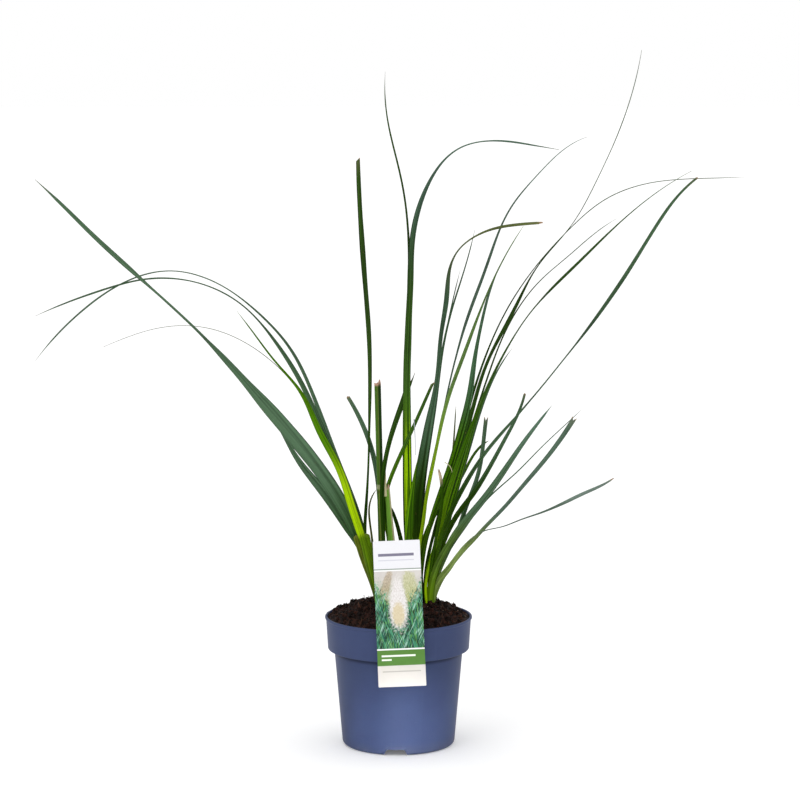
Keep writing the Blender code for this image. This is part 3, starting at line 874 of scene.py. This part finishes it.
# %% Bending a grid into a blade
COLUMNS = 10
RING_GAP = 4 * MM
SHEATH_TURN = math.radians(165)     # how far each half of a sheath wraps round
SHEATH_SHUT = 30 * MM
SHEATH_OPEN = 95 * MM
FOLD_FOOT = math.tan(math.radians(32))
FOLD_TIP = math.tan(math.radians(14))
BLADE_THICKNESS = 0.4 * MM
TIP_ZONE = 30 * MM                  # how much of a leaf its torn end can change
RAGGED_BURN = 9 * MM                # how far a ragged end is dried, and a cut one
CUT_BURN = 2.5 * MM
EDGE_WAVE = 11 * MM
RIPPLE_WAVE = 13 * MM
FACING_STEP = 20                    # where a leaf's facing is read for its sheath
POINT_SHARE = 0.05                  # the last share of a leaf, drawn out to a point


def pulled_back(end, across):
    """How far each point across the blade is pulled back from the tip, in mm."""
    wide = np.abs(across)
    shapes = {
        "point": 0 * wide,
        "square": 1.5 * wide + 0.8 * np.sin(across * 9),
        "slant": 2.2 * (1 + across),
        "notch": 4.5 * (1 - wide) ** 1.4,
        "fork": 17 * (1 - wide) ** 0.7 + 5 * np.clip(across, 0, 1),
        "ragged": 4 * wide + 2.5 * np.sin(across * 7 + 1),
        "collar": 3 * wide,
    }
    return shapes[end]


def bend_grid(verts, leaf, phase):
    """Moves a flat grid's points to their places on the blade."""
    length = leaf.length * MM
    across = np.array([2 * vert.co.x for vert in verts])
    share = np.array([vert.co.y + 0.5 for vert in verts])
    rise = share * (length + LEAF_ROOT) - LEAF_ROOT
    near_end = smooth_step(rise, length - TIP_ZONE, length)
    rise = rise - pulled_back(leaf.end, across) * MM * near_end

    spine, length_way, side, upper = leaf_line(leaf)
    place = np.clip(rise / length, 0, 1) * SPINE_STEPS
    index = np.minimum(place.astype(int), SPINE_STEPS - 1)
    part = (place - index)[:, None]

    def read(table):
        return table[index] * (1 - part) + table[index + 1] * part

    half = along(leaf.widths, share) / 2 * MM
    if leaf.end == "point":
        half = half * np.clip((1 - share) / POINT_SHARE, 0.04, 1) ** 0.8
    half = half * (1 + 0.012 * np.sin(rise / EDGE_WAVE + phase * 3))
    shut = 1 - smooth_step(rise, SHEATH_SHUT, SHEATH_OPEN)
    turn = SHEATH_TURN * across
    fold = (FOLD_FOOT + (FOLD_TIP - FOLD_FOOT) * share) * (np.sqrt(across ** 2 + 0.02) - 0.14)
    beat = rise / RIPPLE_WAVE + phase + 1.7 * np.sign(across)
    ripple = 0.05 * np.abs(across) ** 2 * np.sin(beat)
    facing = np.sign(upper[FACING_STEP][1]) or 1
    sideways = (1 - shut) * across + shut * np.sin(turn)
    lifted = (1 - shut) * (fold + ripple) + shut * facing * (1 - np.cos(turn))
    below = np.minimum(rise, 0)[:, None] * length_way[0]
    points = read(spine) + below + read(side) * (half * sideways)[:, None]
    points = points + read(upper) * (half * lifted)[:, None]
    return points, rise


def make_blade(leaf, look):
    """Builds one leaf as a thin solid with its map and its stored numbers."""
    rings = max(14, round(leaf.length * MM / RING_GAP))
    bm = mapped_grid("blade", COLUMNS, rings)
    rise_layer = bm.verts.layers.float.new("rise")
    dry_layer = bm.verts.layers.float.new("dry")
    phase = len(leaf.name) + leaf.length * 0.37
    points, rise = bend_grid(bm.verts, leaf, phase)
    whole = leaf.end in ("point", "collar")
    reach = RAGGED_BURN if leaf.end == "ragged" else CUT_BURN
    for vert, point, height in zip(bm.verts, points, rise):
        vert.co = point
        vert[rise_layer] = height
        left = leaf.length * MM - height
        vert[dry_layer] = 0.0 if whole else 1 - smooth_step(left, 0, reach)
    blade = finish_piece(bm, leaf.name, [look], [leaf.name], smooth=60)
    thick = blade.modifiers.new("thickness", "SOLIDIFY")
    thick.thickness = BLADE_THICKNESS
    thick.offset = 0
    return blade


# %% [markdown]
# ### Leaf finishes
# A leaf is never one green. Fine veins run the whole length, broad pale and dark
# stripes come and go between them, the midrib stands out pale or dark, the edges are
# darkened with painted shade, the sheath at the foot has a green of its own, and a cut
# end dries to brown. All of it is read from the blade's own map, so it follows every bend.

# %% Leaf finishes
DRY = (0.26, 0.120, 0.060)
DRY_PALE = (0.55, 0.40, 0.26)
VEINS = 11


def leaf_finish(name, greens):
    """The finish of one kind of leaf.

    foot, blade and upper are the greens going up, and fade holds the two heights where
    one gives way to the next. glow colours lit stripes, painted light that shows through
    the lower blade. stripes and rib set how strong the stripes and the midrib are, and
    last is the far end's colour with its heights.
    """
    low, high = greens.fade
    look = Finish("leaf_" + name, IOR=1.42, Specular_IOR_Level=0.06)
    across, up = look.flat("blade")
    rise = look.stored("rise")
    dry = look.stored("dry")
    place = look.place()
    wide = abs(across * 2 - 1)
    vein = look.node("ShaderNodeMath", {"operation": "SINE"}, {0: across * (VEINS * math.tau)})
    broad = look.cloud(look.point(across * 5.0, rise * 4.0, 3.1), 1.0, 2.0)
    fine = look.cloud(look.point(across * 20.0, rise * 14.0, 7.7), 1.0, 3.0, 0.6)
    patch = look.cloud(place, 26.0, 3.0)
    opened = look.step(rise + (fine - 0.5) * 0.06, 0.01, low)
    colour = look.mix(opened, greens.foot, greens.blade)
    # painted light: lit stripes low on the blade, where light shows through it
    if greens.glow:
        lit = look.step(broad, 0.50, 0.62) * look.step(rise, high, low)
        colour = look.mix(lit * 0.8, colour, greens.glow)
    top = look.step(rise + (broad - 0.5) * (high - low), low, high)
    colour = look.mix(top, colour, greens.upper)
    if greens.last:
        far, start, whole = greens.last
        colour = look.mix(look.step(rise, start, whole), colour, far)
    stripe = look.step(broad, 0.35, 0.65) - 0.5
    shade = 1 + stripe * greens.stripes + (fine - 0.5) * greens.stripes
    shade = shade - vein * 0.07 - look.step(patch, 0.50, 0.75) * 0.25
    # painted shade: the blade's edges are darkened, where the fold turns away from the light
    shade = shade - look.step(wide, 0.80, 1.0) * 0.35 + look.step(wide, 0.10, 0.02) * greens.rib
    colour = look.scale(colour, shade)
    colour = look.mix(look.step(up, 0.95, 1.0) * 0.10, colour, DRY_PALE)
    burn = look.step(dry + (fine - 0.5) * 0.8, 0.25, 0.75)
    colour = look.mix(burn, colour, look.mix(fine, DRY, DRY_PALE))
    spot = look.specks(330.0, 0.72, 0.78)
    colour = look.mix(spot * 0.4, colour, DRY)
    look.use("Base Color", colour)
    look.use("Roughness", 0.46 + fine * 0.18 + burn * 0.3)
    look.bump(vein * 0.5 + fine, 0.00015)
    return look


# colours are linear, and heights are metres along the leaf from the peat
Greens = namedtuple("Greens", "foot blade upper glow fade stripes rib last",
                    defaults=(None, (0.10, 0.30), 0.7, 0.25, None))
GREENS = {
    "teal": Greens((0.090, 0.170, 0.004), (0.030, 0.078, 0.020), (0.075, 0.140, 0.076),
                   fade=(0.06, 0.19), stripes=0.5, rib=-0.25),
    "fern": Greens((0.095, 0.185, 0.003), (0.080, 0.150, 0.022), (0.062, 0.118, 0.062),
                   fade=(0.06, 0.13), stripes=0.6, last=((0.100, 0.180, 0.120), 0.17, 0.25)),
    "arch": Greens((0.045, 0.110, 0.001), (0.014, 0.045, 0.001), (0.056, 0.110, 0.060),
                   fade=(0.13, 0.23), stripes=0.7, rib=-0.2,
                   last=((0.125, 0.155, 0.045), 0.34, 0.44)),
    "dusk": Greens((0.045, 0.110, 0.001), (0.022, 0.075, 0.000), (0.062, 0.140, 0.066),
                   glow=(0.055, 0.150, 0.001), fade=(0.19, 0.28), stripes=0.9,
                   last=((0.110, 0.190, 0.125), 0.3, 0.38)),
    "pine": Greens((0.045, 0.110, 0.001), (0.014, 0.045, 0.001), (0.058, 0.118, 0.056),
                   fade=(0.13, 0.23), stripes=0.7, rib=-0.2),
    "sage": Greens((0.170, 0.250, 0.050), (0.180, 0.260, 0.070), (0.086, 0.142, 0.098),
                   fade=(0.07, 0.14), stripes=0.5),
    "green": Greens((0.090, 0.180, 0.001), (0.026, 0.088, 0.000), (0.036, 0.092, 0.012),
                    glow=(0.110, 0.260, 0.001), stripes=0.9),
    "lime": Greens((0.055, 0.100, 0.001), (0.085, 0.170, 0.001), (0.300, 0.480, 0.001),
                   fade=(0.078, 0.087), stripes=0.6, last=((0.060, 0.170, 0.001), 0.12, 0.2)),
    "spring": Greens((0.260, 0.420, 0.001), (0.190, 0.330, 0.003), (0.120, 0.220, 0.055),
                     fade=(0.15, 0.27), stripes=0.6),
    "streak": Greens((0.280, 0.450, 0.001), (0.130, 0.270, 0.001), (0.030, 0.090, 0.001),
                     glow=(0.180, 0.360, 0.001), fade=(0.05, 0.19), stripes=0.9),
    "mist": Greens((0.170, 0.250, 0.050), (0.200, 0.290, 0.080), (0.100, 0.150, 0.110),
                   fade=(0.07, 0.14), stripes=0.5, last=((0.190, 0.260, 0.215), 0.23, 0.28)),
    "fresh": Greens((0.120, 0.240, 0.001), (0.045, 0.140, 0.000), (0.036, 0.090, 0.012),
                    glow=(0.300, 0.500, 0.001), fade=(0.16, 0.27), stripes=1.0,
                    last=((0.060, 0.115, 0.075), 0.34, 0.48)),
    "deep": Greens((0.030, 0.080, 0.001), (0.010, 0.038, 0.000), (0.028, 0.068, 0.009),
                   fade=(0.12, 0.3), stripes=1.0),
    "husk": Greens((0.040, 0.065, 0.003), (0.085, 0.165, 0.001), (0.110, 0.220, 0.002),
                   fade=(0.03, 0.09)),
    "rind": Greens((0.060, 0.060, 0.006), (0.085, 0.120, 0.006), (0.110, 0.140, 0.008),
                   glow=(0.220, 0.220, 0.040), fade=(0.03, 0.09)),
    "olive": Greens((0.085, 0.095, 0.008), (0.110, 0.130, 0.014), (0.110, 0.125, 0.060),
                    glow=(0.240, 0.250, 0.050)),
    "straw": Greens((0.030, 0.080, 0.001), (0.020, 0.060, 0.000), (0.480, 0.380, 0.260),
                    fade=(0.136, 0.15)),
}
FINISHES = {name: leaf_finish(name, greens) for name, greens in GREENS.items()}
print("leaf finishes:", ", ".join(FINISHES))

# %% [markdown]
# ### The clump
# Every leaf is one line of measures, in millimetres and degrees. foot is where it
# leaves the peat, heading points its plane from +X towards +Y, and leans are its
# angles from upright. Widths and rolls run from foot to tip: a roll of 0 shows the
# blade's full width to the front and 90 shows its edge. end says how it finishes.

# %% The table of leaves
Leaf = namedtuple("Leaf", "name foot heading length leans widths rolls colour end")
LEAVES = [
    # the left shoot
    Leaf("leaf_left_broad", (-25, -2), 200, 635, (19, 19, 30, 38, 40, 41, 45, 48, 48, 45, 48),
         (3, 7, 14.5, 16, 15.5, 11, 9, 8, 6.5, 5, 2.5),
         (0, 14, 12, 11, 0, -35, -64, -68, -31, -26, -36), "teal", "point"),
    Leaf("leaf_left_under", (-25, 4), 188, 254, (12, 21, 31.5, 35, 38, 28, 34),
         (3, 6, 9.5, 10, 8.5, 4.5, 1.4), (0, 10), "teal", "point"),
    Leaf("leaf_left_lime", (-21, -30), 182, 378, (19, 13, 18, 17, 29, 23, 41, 36, 38),
         (6, 9, 8.8, 8.3, 8, 6.5, 3, 2, 1), (-4, -4, -14, -25), "lime", "point"),
    Leaf("leaf_left_arch_near", (-20, 0), 168, 646,
         (19, 16, 20, 23, 24, 33, 43, 66, 87, 105, 110, 115),
         (3, 5, 6, 6.5, 6.5, 6.2, 4.5, 3.5, 3.2, 3, 2.6, 1),
         (0, 0, 0, -10, -20, -30, -60, -64, -60, -50, -45, -40), "pine", "point"),
    Leaf("leaf_left_arch_far", (-19, 12), 152, 739,
         (23, 16, 25, 23, 27, 47, 60, 80, 105, 121, 130, 139),
         (3, 5, 5, 5.3, 5, 4.2, 3.5, 3, 2.8, 2.6, 2.4, 1),
         (0, 0, 0, -10, -33, -45, -62, -66, -60, -46, -41, -40), "teal", "point"),
    Leaf("leaf_left_wisp", (-18, 14), 140, 621, (24, 20, 34, 38, 58, 75, 92, 105, 111),
         (2, 2.4, 2.6, 2.4, 2.2, 2, 1.6, 1.2, 0.6), (-46, -60, -80, -80, -80), "olive", "point"),
    Leaf("sheath_left_tan", (-26, -16), 185, 81, (12, 20, 13), (8, 9, 8), (0, 0), "rind",
         "collar"),
    Leaf("sheath_left_green", (-20.5, -22), 175, 82, (24, 7, 14), (9, 10, 8.5), (0, 0),
         "husk", "collar"),
    # round the two cut culms
    Leaf("leaf_tall_cut", (-28, 10), 140, 510, (25, -4, -2, 0, 6, 5, 2),
         (4, 4, 5, 5, 5.5, 6, 6.5, 6.5, 6.5, 5.5, 4.6),
         (-50, -50, -44, -68, -59, -45, -35, -32, -18, -15, 0), "deep", "slant"),
    Leaf("leaf_culm_left", (-16, 14), 165, 240, (6, 3, 2, 9, 22, 34),
         (5, 5, 5, 5.5, 5.5, 4.2), (0, 10), "teal", "square"),
    Leaf("leaf_culm_forked", (-17, -2), 20, 269, (-1, 0, -2, 11, 21, 16), (5, 5, 5, 5, 6, 7),
         (-5, -5), "deep", "fork"),
    Leaf("leaf_culm_right", (-6, 0), -30, 270, (-7, -4, -9, 20, 27, 26, 26),
         (5, 5, 5, 4.8, 4.5, 4.2, 3.4), (0, 20), "green", "slant"),
    Leaf("leaf_culm_wisp", (-25, 18), 170, 127, (5, 3, 8, 3, -39), (3, 3, 3, 2.4, 1.4),
         (20, 20), "olive", "point"),
    Leaf("leaf_culm_short", (11, 10), 170, 108, (5, 9, 23), (7, 7, 3), (0, 0), "deep",
         "point"),
    # the middle shoot
    Leaf("leaf_mid_crook", (16, -6), -35, 675, (-1, -4, -2, -1, -1, 2, 3, 3, 19, 41, 78, 96, 98),
         (7, 9, 9, 9, 8.8, 8.2, 7.6, 6.6, 5.5, 4, 2),
         (0, 0, 5, 12, 15, 33, 27, 47, 78, 65, 60), "fresh", "point"),
    Leaf("leaf_mid_needle", (13, 1), 160, 607, (5, 2, 0, -1, -3, 5, 15, -4),
         (5, 5, 4, 4, 3.5, 3, 2.2, 1.9, 0.7), (0, 0), "deep", "point"),
    Leaf("leaf_mid_hook", (20, 2), -14, 515, (-2, 0, 2, 9, 9, 11, 4, 10, 6, 51, 79, 87),
         (7, 9, 12, 13, 10.8, 7, 6, 6.5, 6, 5, 4.5),
         (0, 0, 5, 5, 20, 40, 38, 35, 79, 50, 51), "arch", "ragged"),
    Leaf("leaf_mid_slender", (24, 9), 20, 433, (-4, 2, 8, 9, 11, 19, 13),
         (5, 5.5, 4.5, 3.4, 2.8, 1.8, 0.8), (0, 10), "pine", "point"),
    Leaf("leaf_mid_sliver", (26, 13), 40, 383, (-4, 2, 8, 12, 9, 15, 19),
         (3.5, 3.5, 3, 2.5, 2, 1.6, 0.8), (0, 20), "pine", "point"),
    Leaf("leaf_mid_lime", (29, -8), -42, 470, (-7, 2, 14, 15, 25, 25, 31, 41),
         (6, 6, 4.5, 4.5, 4.5, 5, 5, 4.3, 3, 2.4, 1.2),
         (20, 20, 32, 35, 35, 33, 33, 33, 53, 57, 60), "spring", "point"),
    Leaf("leaf_mid_back", (27, 17), 48, 650, (-3, 4, 18, 17, 23, 31, 30, 53, 60, 80),
         (5, 6, 5, 4.5, 4.5, 4.5, 4.6, 3, 2, 1.2, 0.6),
         (0, 0, 35, 52, 69, 44, 38, 42, 48, 50, 50), "sage", "point"),
    Leaf("leaf_mid_short", (12, -8), -10, 166, (-1, 0, 6, 12), (8, 12, 11.5, 9, 4.5, 0.8),
         (0, 0), "green", "point"),
    # the right shoots
    Leaf("leaf_right_broad", (24, 5), 22, 394, (1, 9, 18, 22, 18, 15, 8, 12, 16, 29),
         (5.5, 6, 6, 7.5, 8.5, 8.5, 6.5, 4, 3, 1), (0, 10, 0), "dusk", "point"),
    Leaf("leaf_right_far", (31, 12), 33, 761,
         (-3, 17, 20, 17, 21, 29, 40, 49, 56, 74, 86, 90, 89),
         (4, 4, 4.5, 4, 3, 2, 1.5, 1, 1, 1, 0.8, 0.8, 0.5), (0, 0, 15, 30, 30, 30, 30), "deep",
         "point"),
    Leaf("leaf_right_upswept", (43, 9), 12, 686, (-8, 11, 15, 15, 16, 29, 27, 43, 29, 25, 18, 9),
         (5, 5, 5, 5, 4.5, 4.8, 3.5, 2.5, 2, 1.5, 0.8),
         (0, 0, 0, 0, 35, 28, 70, 77, 72, 60, 60), "deep", "point"),
    Leaf("leaf_right_wisp", (46, 22), 50, 594, (-14, 20, 25, 28, 32, 49, 65, 65, 74),
         (3, 3, 3, 2.5, 2, 1.5, 1, 1, 0.6), (15, 15, 15), "deep", "point"),
    Leaf("leaf_right_olive", (47, -1), -10, 599, (-10, 12, 16, 15, 24, 33, 45, 45, 51, 62),
         (5, 5, 5, 5, 5, 4.5, 4, 4, 3, 1.5, 0.6),
         (0, 0, 0, 25, 33, 60, 71, 34, 48, 62, 60), "green", "point"),
    Leaf("leaf_right_mate", (49, 14), 15, 306, (-9, 10, 15, 17, 17, 24, 40),
         (4, 4, 3.5, 3, 2.5, 2, 1), (0, 0), "teal", "point"),
    Leaf("leaf_right_lime", (32, -8), -18, 245, (-7, 13, 16, 13, 18, 19, 21, 18),
         (3, 3.5, 4.5, 6, 6.5, 6, 4, 1.5), (0, 0), "streak", "point"),
    Leaf("leaf_right_long", (40, -14), -38, 617, (7, 10, 27, 35, 44, 44, 42, 41, 38, 35, 38, 56),
         (6, 6, 6, 6, 5.5, 4.5, 4.5, 5, 5, 4.2, 3),
         (0, 0, 22, 38, 52, 74, 66, 33, 33, 36, 37), "pine", "square"),
    Leaf("leaf_right_slim_cut", (44, -4), -12, 268, (3, 9, 17, 37, 31, 28, 27, 13),
         (5, 5.5, 5.5, 6, 5.7, 4.7, 3.8, 2.8), (0, 10), "pine", "square"),
    Leaf("leaf_right_teal", (41, -26), 5, 270, (0, 16, 29, 40, 36, 34, 37, 39),
         (9, 9, 9, 8.5, 7.5, 6, 4.3, 1.4), (0, 0), "fern", "point"),
    Leaf("leaf_right_thin", (44, 16), 45, 333, (10, 38, 51, 64, 59, 62, 62),
         (3, 3, 2.6, 1.6, 1.3, 1.0, 0.6), (0, 0), "teal", "point"),
    Leaf("leaf_right_notched", (49, -10), -28, 282, (14, 29, 38, 45, 41, 41, 37, 32),
         (6, 5.5, 5, 4.2, 4.2, 4.6, 5, 5.4), (0, 0), "sage", "notch"),
    Leaf("leaf_right_low", (46, -12), -45, 327, (10, 38, 30, 51, 75, 67, 70, 66, 64, 66, 58),
         (7, 7.5, 6.5, 5, 3, 2.4, 2.4, 3.2, 4.2, 3.8, 2),
         (5, 10, 20, 45, 66, 55, 42, 30, 20, 15, 20), "mist", "ragged"),
    Leaf("leaf_right_upright", (51, 18), 50, 223, (-1, 28, 27, 34, 12, 10),
         (5, 5, 5, 5, 4.8, 4.6), (0, 0), "teal", "notch"),
    Leaf("leaf_right_torn", (27, 10), 48, 226, (-3, 2, 44, 52, 41, 78), (4, 4, 4, 3.5, 3.5, 2.5),
         (0, 0), "green", "point"),
    Leaf("stub_right_dry", (36, -18), -20, 157, (2, 7, 9, -17), (4, 4, 3.8, 3.2), (0, 0),
         "straw", "ragged"),
    Leaf("leaf_right_grey", (41, 24), 65, 228, (4, 12, 26, 25, 11, 8),
         (2.5, 2.5, 2.5, 2.4, 2.2, 1), (20, 20), "olive", "point"),
]

for leaf in LEAVES:
    make_blade(leaf, FINISHES[leaf.colour])
print("leaves:", len(LEAVES))

# %% [markdown]
# ## The cut culms
# Two thick stems were cut back, and their dead tops are torn. A culm is a tube with
# fine stripes and a swollen, pale ring at its node. A flat grid is rolled into the
# tube, and its upper rim is then extruded inwards and down to make the hollow end.

# %% Culm shapes and finish
Culm = namedtuple("Culm", "name foot top radii split node colours slot")
CULM_SIDES = 28
CULM_RINGS = 60
CULM_ROOT = 12 * MM                 # how far it reaches down into the peat
NODE_SWELL = 0.08
NODE_SPAN = 0.012
CHIP_HEIGHT = 4.5                   # millimetres that the torn end stands higher there
CULM_END = ((0.72, 0.3), (0.95, 9.0))   # each fold's width and its drop in millimetres
CULM_BOW = 20 * MM                  # scales the slight bow that comes with a culm's lean
CHIP_SIDE = math.radians(310)       # where a culm's torn end stands highest


def culm_finish(culm):
    """Two sheath colours meet in a pale seam at split; below the node is a painted highlight, a
    lit stripe down the front, and just under the node a band of painted shade.
    """
    look = Finish("stem_" + culm.name, IOR=1.42, Specular_IOR_Level=0.12)
    left, seam, right, stripe = culm.colours
    around, up = look.flat("stem")
    wave = look.cloud(look.point(around * 16.0, up * 2.0), 1.0, 3.0, 0.6)
    fine = look.cloud(look.point(around * 50.0, up * 6.0), 1.0, 3.0, 0.6)
    colour = look.mix(look.step(around, culm.split, culm.split + 0.02), left, right)
    line = look.step(abs(around - culm.split + 0.01), 0.014, 0.004)
    colour = look.mix(line * 0.7, colour, seam)
    # painted highlight: a lit stripe below the node, on the side that faces the front
    lit = look.step(abs(around - 0.745), 0.085, 0.045)
    below = look.step(up, culm.node, culm.node - 0.01)
    colour = look.mix(below, colour, look.mix(lit, left, stripe))
    colour = look.scale(colour, 1 + (wave - 0.5) * 1.2 + (fine - 0.5) * 1.0)
    ring = look.step(abs(up - culm.node), 0.014, 0.006)
    colour = look.mix(ring * 0.5, colour, (0.42, 0.42, 0.26))
    # painted shade: a dark band just under the swollen node
    shade = look.step(abs(up - (culm.node - 0.022)), 0.010, 0.002)
    colour = look.mix(shade * 0.5, colour, (0.05, 0.045, 0.01))
    burn = look.step(up + (fine - 0.5) * 0.02, 0.985, 0.996)
    colour = look.mix(burn, colour, look.mix(fine, (0.22, 0.09, 0.05), (0.60, 0.40, 0.30)))
    speck = look.specks(420.0, 0.70, 0.76)
    colour = look.mix(speck * 0.4, colour, DRY)
    look.use("Base Color", colour)
    look.use("Roughness", 0.42 + fine * 0.2)
    look.bump(fine, 0.0002)
    return look


def make_culm(culm):
    """A tube from foot to top with node rings and a torn, hollow end."""
    foot, top = Vector(culm.foot) * MM, Vector(culm.top) * MM
    way = (top - foot).normalized()
    foot = foot - way * CULM_ROOT
    turn = Vector((0, 0, 1)).rotation_difference(way).to_matrix()
    bm = mapped_grid("stem", CULM_SIDES, CULM_RINGS)
    ends = [vert for vert in bm.verts if vert.co.y > 0.4999]
    for vert in bm.verts:
        around = (vert.co.x + 0.5) * math.tau
        up = vert.co.y + 0.5
        swell = 1 + NODE_SWELL * math.exp(-((up - culm.node) / NODE_SPAN) ** 2)
        flute = 1 + 0.025 * math.sin(around * 7)
        radius = (culm.radii[0] + (culm.radii[1] - culm.radii[0]) * up) * MM * swell * flute
        chip = max(0, math.cos(around - CHIP_SIDE)) ** 6
        torn = (CHIP_HEIGHT * chip + 0.8 * math.sin(around * 5)) * MM * (up > 0.999)
        bow = Vector((0, 0, 1)).cross(way) * math.sin(up * math.pi) * CULM_BOW
        ring = Vector((radius * math.cos(around), radius * math.sin(around), 0))
        vert.co = foot + turn @ ring + (top - foot) * up + way * torn + bow
    bmesh.ops.remove_doubles(bm, verts=bm.verts, dist=1e-6)
    rim = [edge for edge in bm.edges if edge.is_boundary
           and all(vert in ends for vert in edge.verts if vert.is_valid)]
    for inward, down in CULM_END:
        made = bmesh.ops.extrude_edge_only(bm, edges=rim)["geom"]
        ring = [item for item in made if isinstance(item, bmesh.types.BMVert)]
        rim = [item for item in made if isinstance(item, bmesh.types.BMEdge)
               and all(vert in ring for vert in item.verts)]
        middle = sum((vert.co for vert in ring), Vector()) / len(ring)
        for vert in ring:
            vert.co = middle + (vert.co - middle) * inward - way * down * MM
    bmesh.ops.holes_fill(bm, edges=[edge for edge in bm.edges if edge.is_boundary], sides=0)
    bmesh.ops.recalc_face_normals(bm, faces=bm.faces)
    return finish_piece(bm, culm.name, [culm_finish(culm)], [culm.name], smooth=50)


CULMS = [
    Culm("culm_tall", (-18, 6, 168), (-24, 6, 419), (3.7, 3.8), 0.76, 0.545,
         ((0.045, 0.105, 0.008), (0.150, 0.135, 0.045), (0.007, 0.030, 0.001),
          (0.150, 0.205, 0.030)), "leaf_deep"),
    Culm("culm_pale", (-3, 3, 168), (-13, 3, 298), (5.8, 2.9), 0.84, 0.0,
         ((0.110, 0.250, 0.025), (0.300, 0.300, 0.120), (0.420, 0.380, 0.220),
          (0.340, 0.360, 0.130)), "leaf_green"),
]
for culm in CULMS:
    made = make_culm(culm)
    print(culm.name, len(made.data.polygons), "faces")

# %% [markdown]
# ### Dry remains
# A pale stub stands on the shorter culm, and two dry threads hang and curl from torn
# leaves. Each is a thin tube through a few points, and its tone runs from a weathered
# grey over a warm straw to a scorched brown.

# %% The stub and the threads
THREAD_RINGS = 28
THREAD_SIDES = 7


def add_thread(bm, layer, points, thick, thin, tones):
    """A round thread through points in mm, thick at its start and thin at its end."""
    shares = np.linspace(0, 1, THREAD_RINGS)
    held = np.array(points, float)
    line = np.stack([along(held[:, axis], shares) for axis in range(3)], axis=1)
    rings = []
    for share, centre in zip(shares, line):
        radius = thick + (thin - thick) * share
        ring = []
        for side in range(THREAD_SIDES):
            turn = math.tau * side / THREAD_SIDES
            offset = np.array([math.cos(turn), 0.7 * math.sin(turn), 0.7 * math.sin(turn)])
            vert = bm.verts.new((centre + offset * radius) * MM)
            vert[layer] = tones[0] + (tones[1] - tones[0]) * share ** 3
            ring.append(vert)
        rings.append(ring)
    for low, high in zip(rings, rings[1:]):
        for side in range(THREAD_SIDES):
            after = (side + 1) % THREAD_SIDES
            bm.faces.new((low[side], low[after], high[after], high[side]))
    bm.faces.new(rings[0][::-1])
    bm.faces.new(rings[-1])


thread_look = Finish("dry_thread", Roughness=0.7, Specular_IOR_Level=0.1)
tone = thread_look.stored("tone")
mottle = thread_look.cloud(thread_look.place(), 500.0)
shade = thread_look.mix(thread_look.step(tone, 0.0, 0.5), (0.30, 0.34, 0.40), (0.55, 0.52, 0.30))
shade = thread_look.mix(thread_look.step(tone, 0.6, 1.0), shade, (0.28, 0.10, 0.05))
thread_look.use("Base Color", thread_look.mix(mottle * 0.4, shade, (0.30, 0.28, 0.16)))
bm, layer = toned_mesh()
add_thread(bm, layer, [(-15.0, 0, 290), (-15.6, 0, 304), (-16.2, 0, 320)], 1.8, 1.5, (0.5, 1.0))
add_thread(bm, layer, [(17.6, -21, 381), (18.8, -22, 362), (19.3, -22, 340)], 0.6, 0.3, (0.0, 0.1))
add_thread(bm, layer, [(53, -17, 331), (59, -17, 326), (61.5, -16, 317), (60.5, -16, 302)],
           0.6, 0.3, (0.5, 0.5))
bmesh.ops.recalc_face_normals(bm, faces=bm.faces)
remains = finish_piece(bm, "dry_remains", [thread_look])
print("dry remains:", len(remains.data.polygons), "faces")
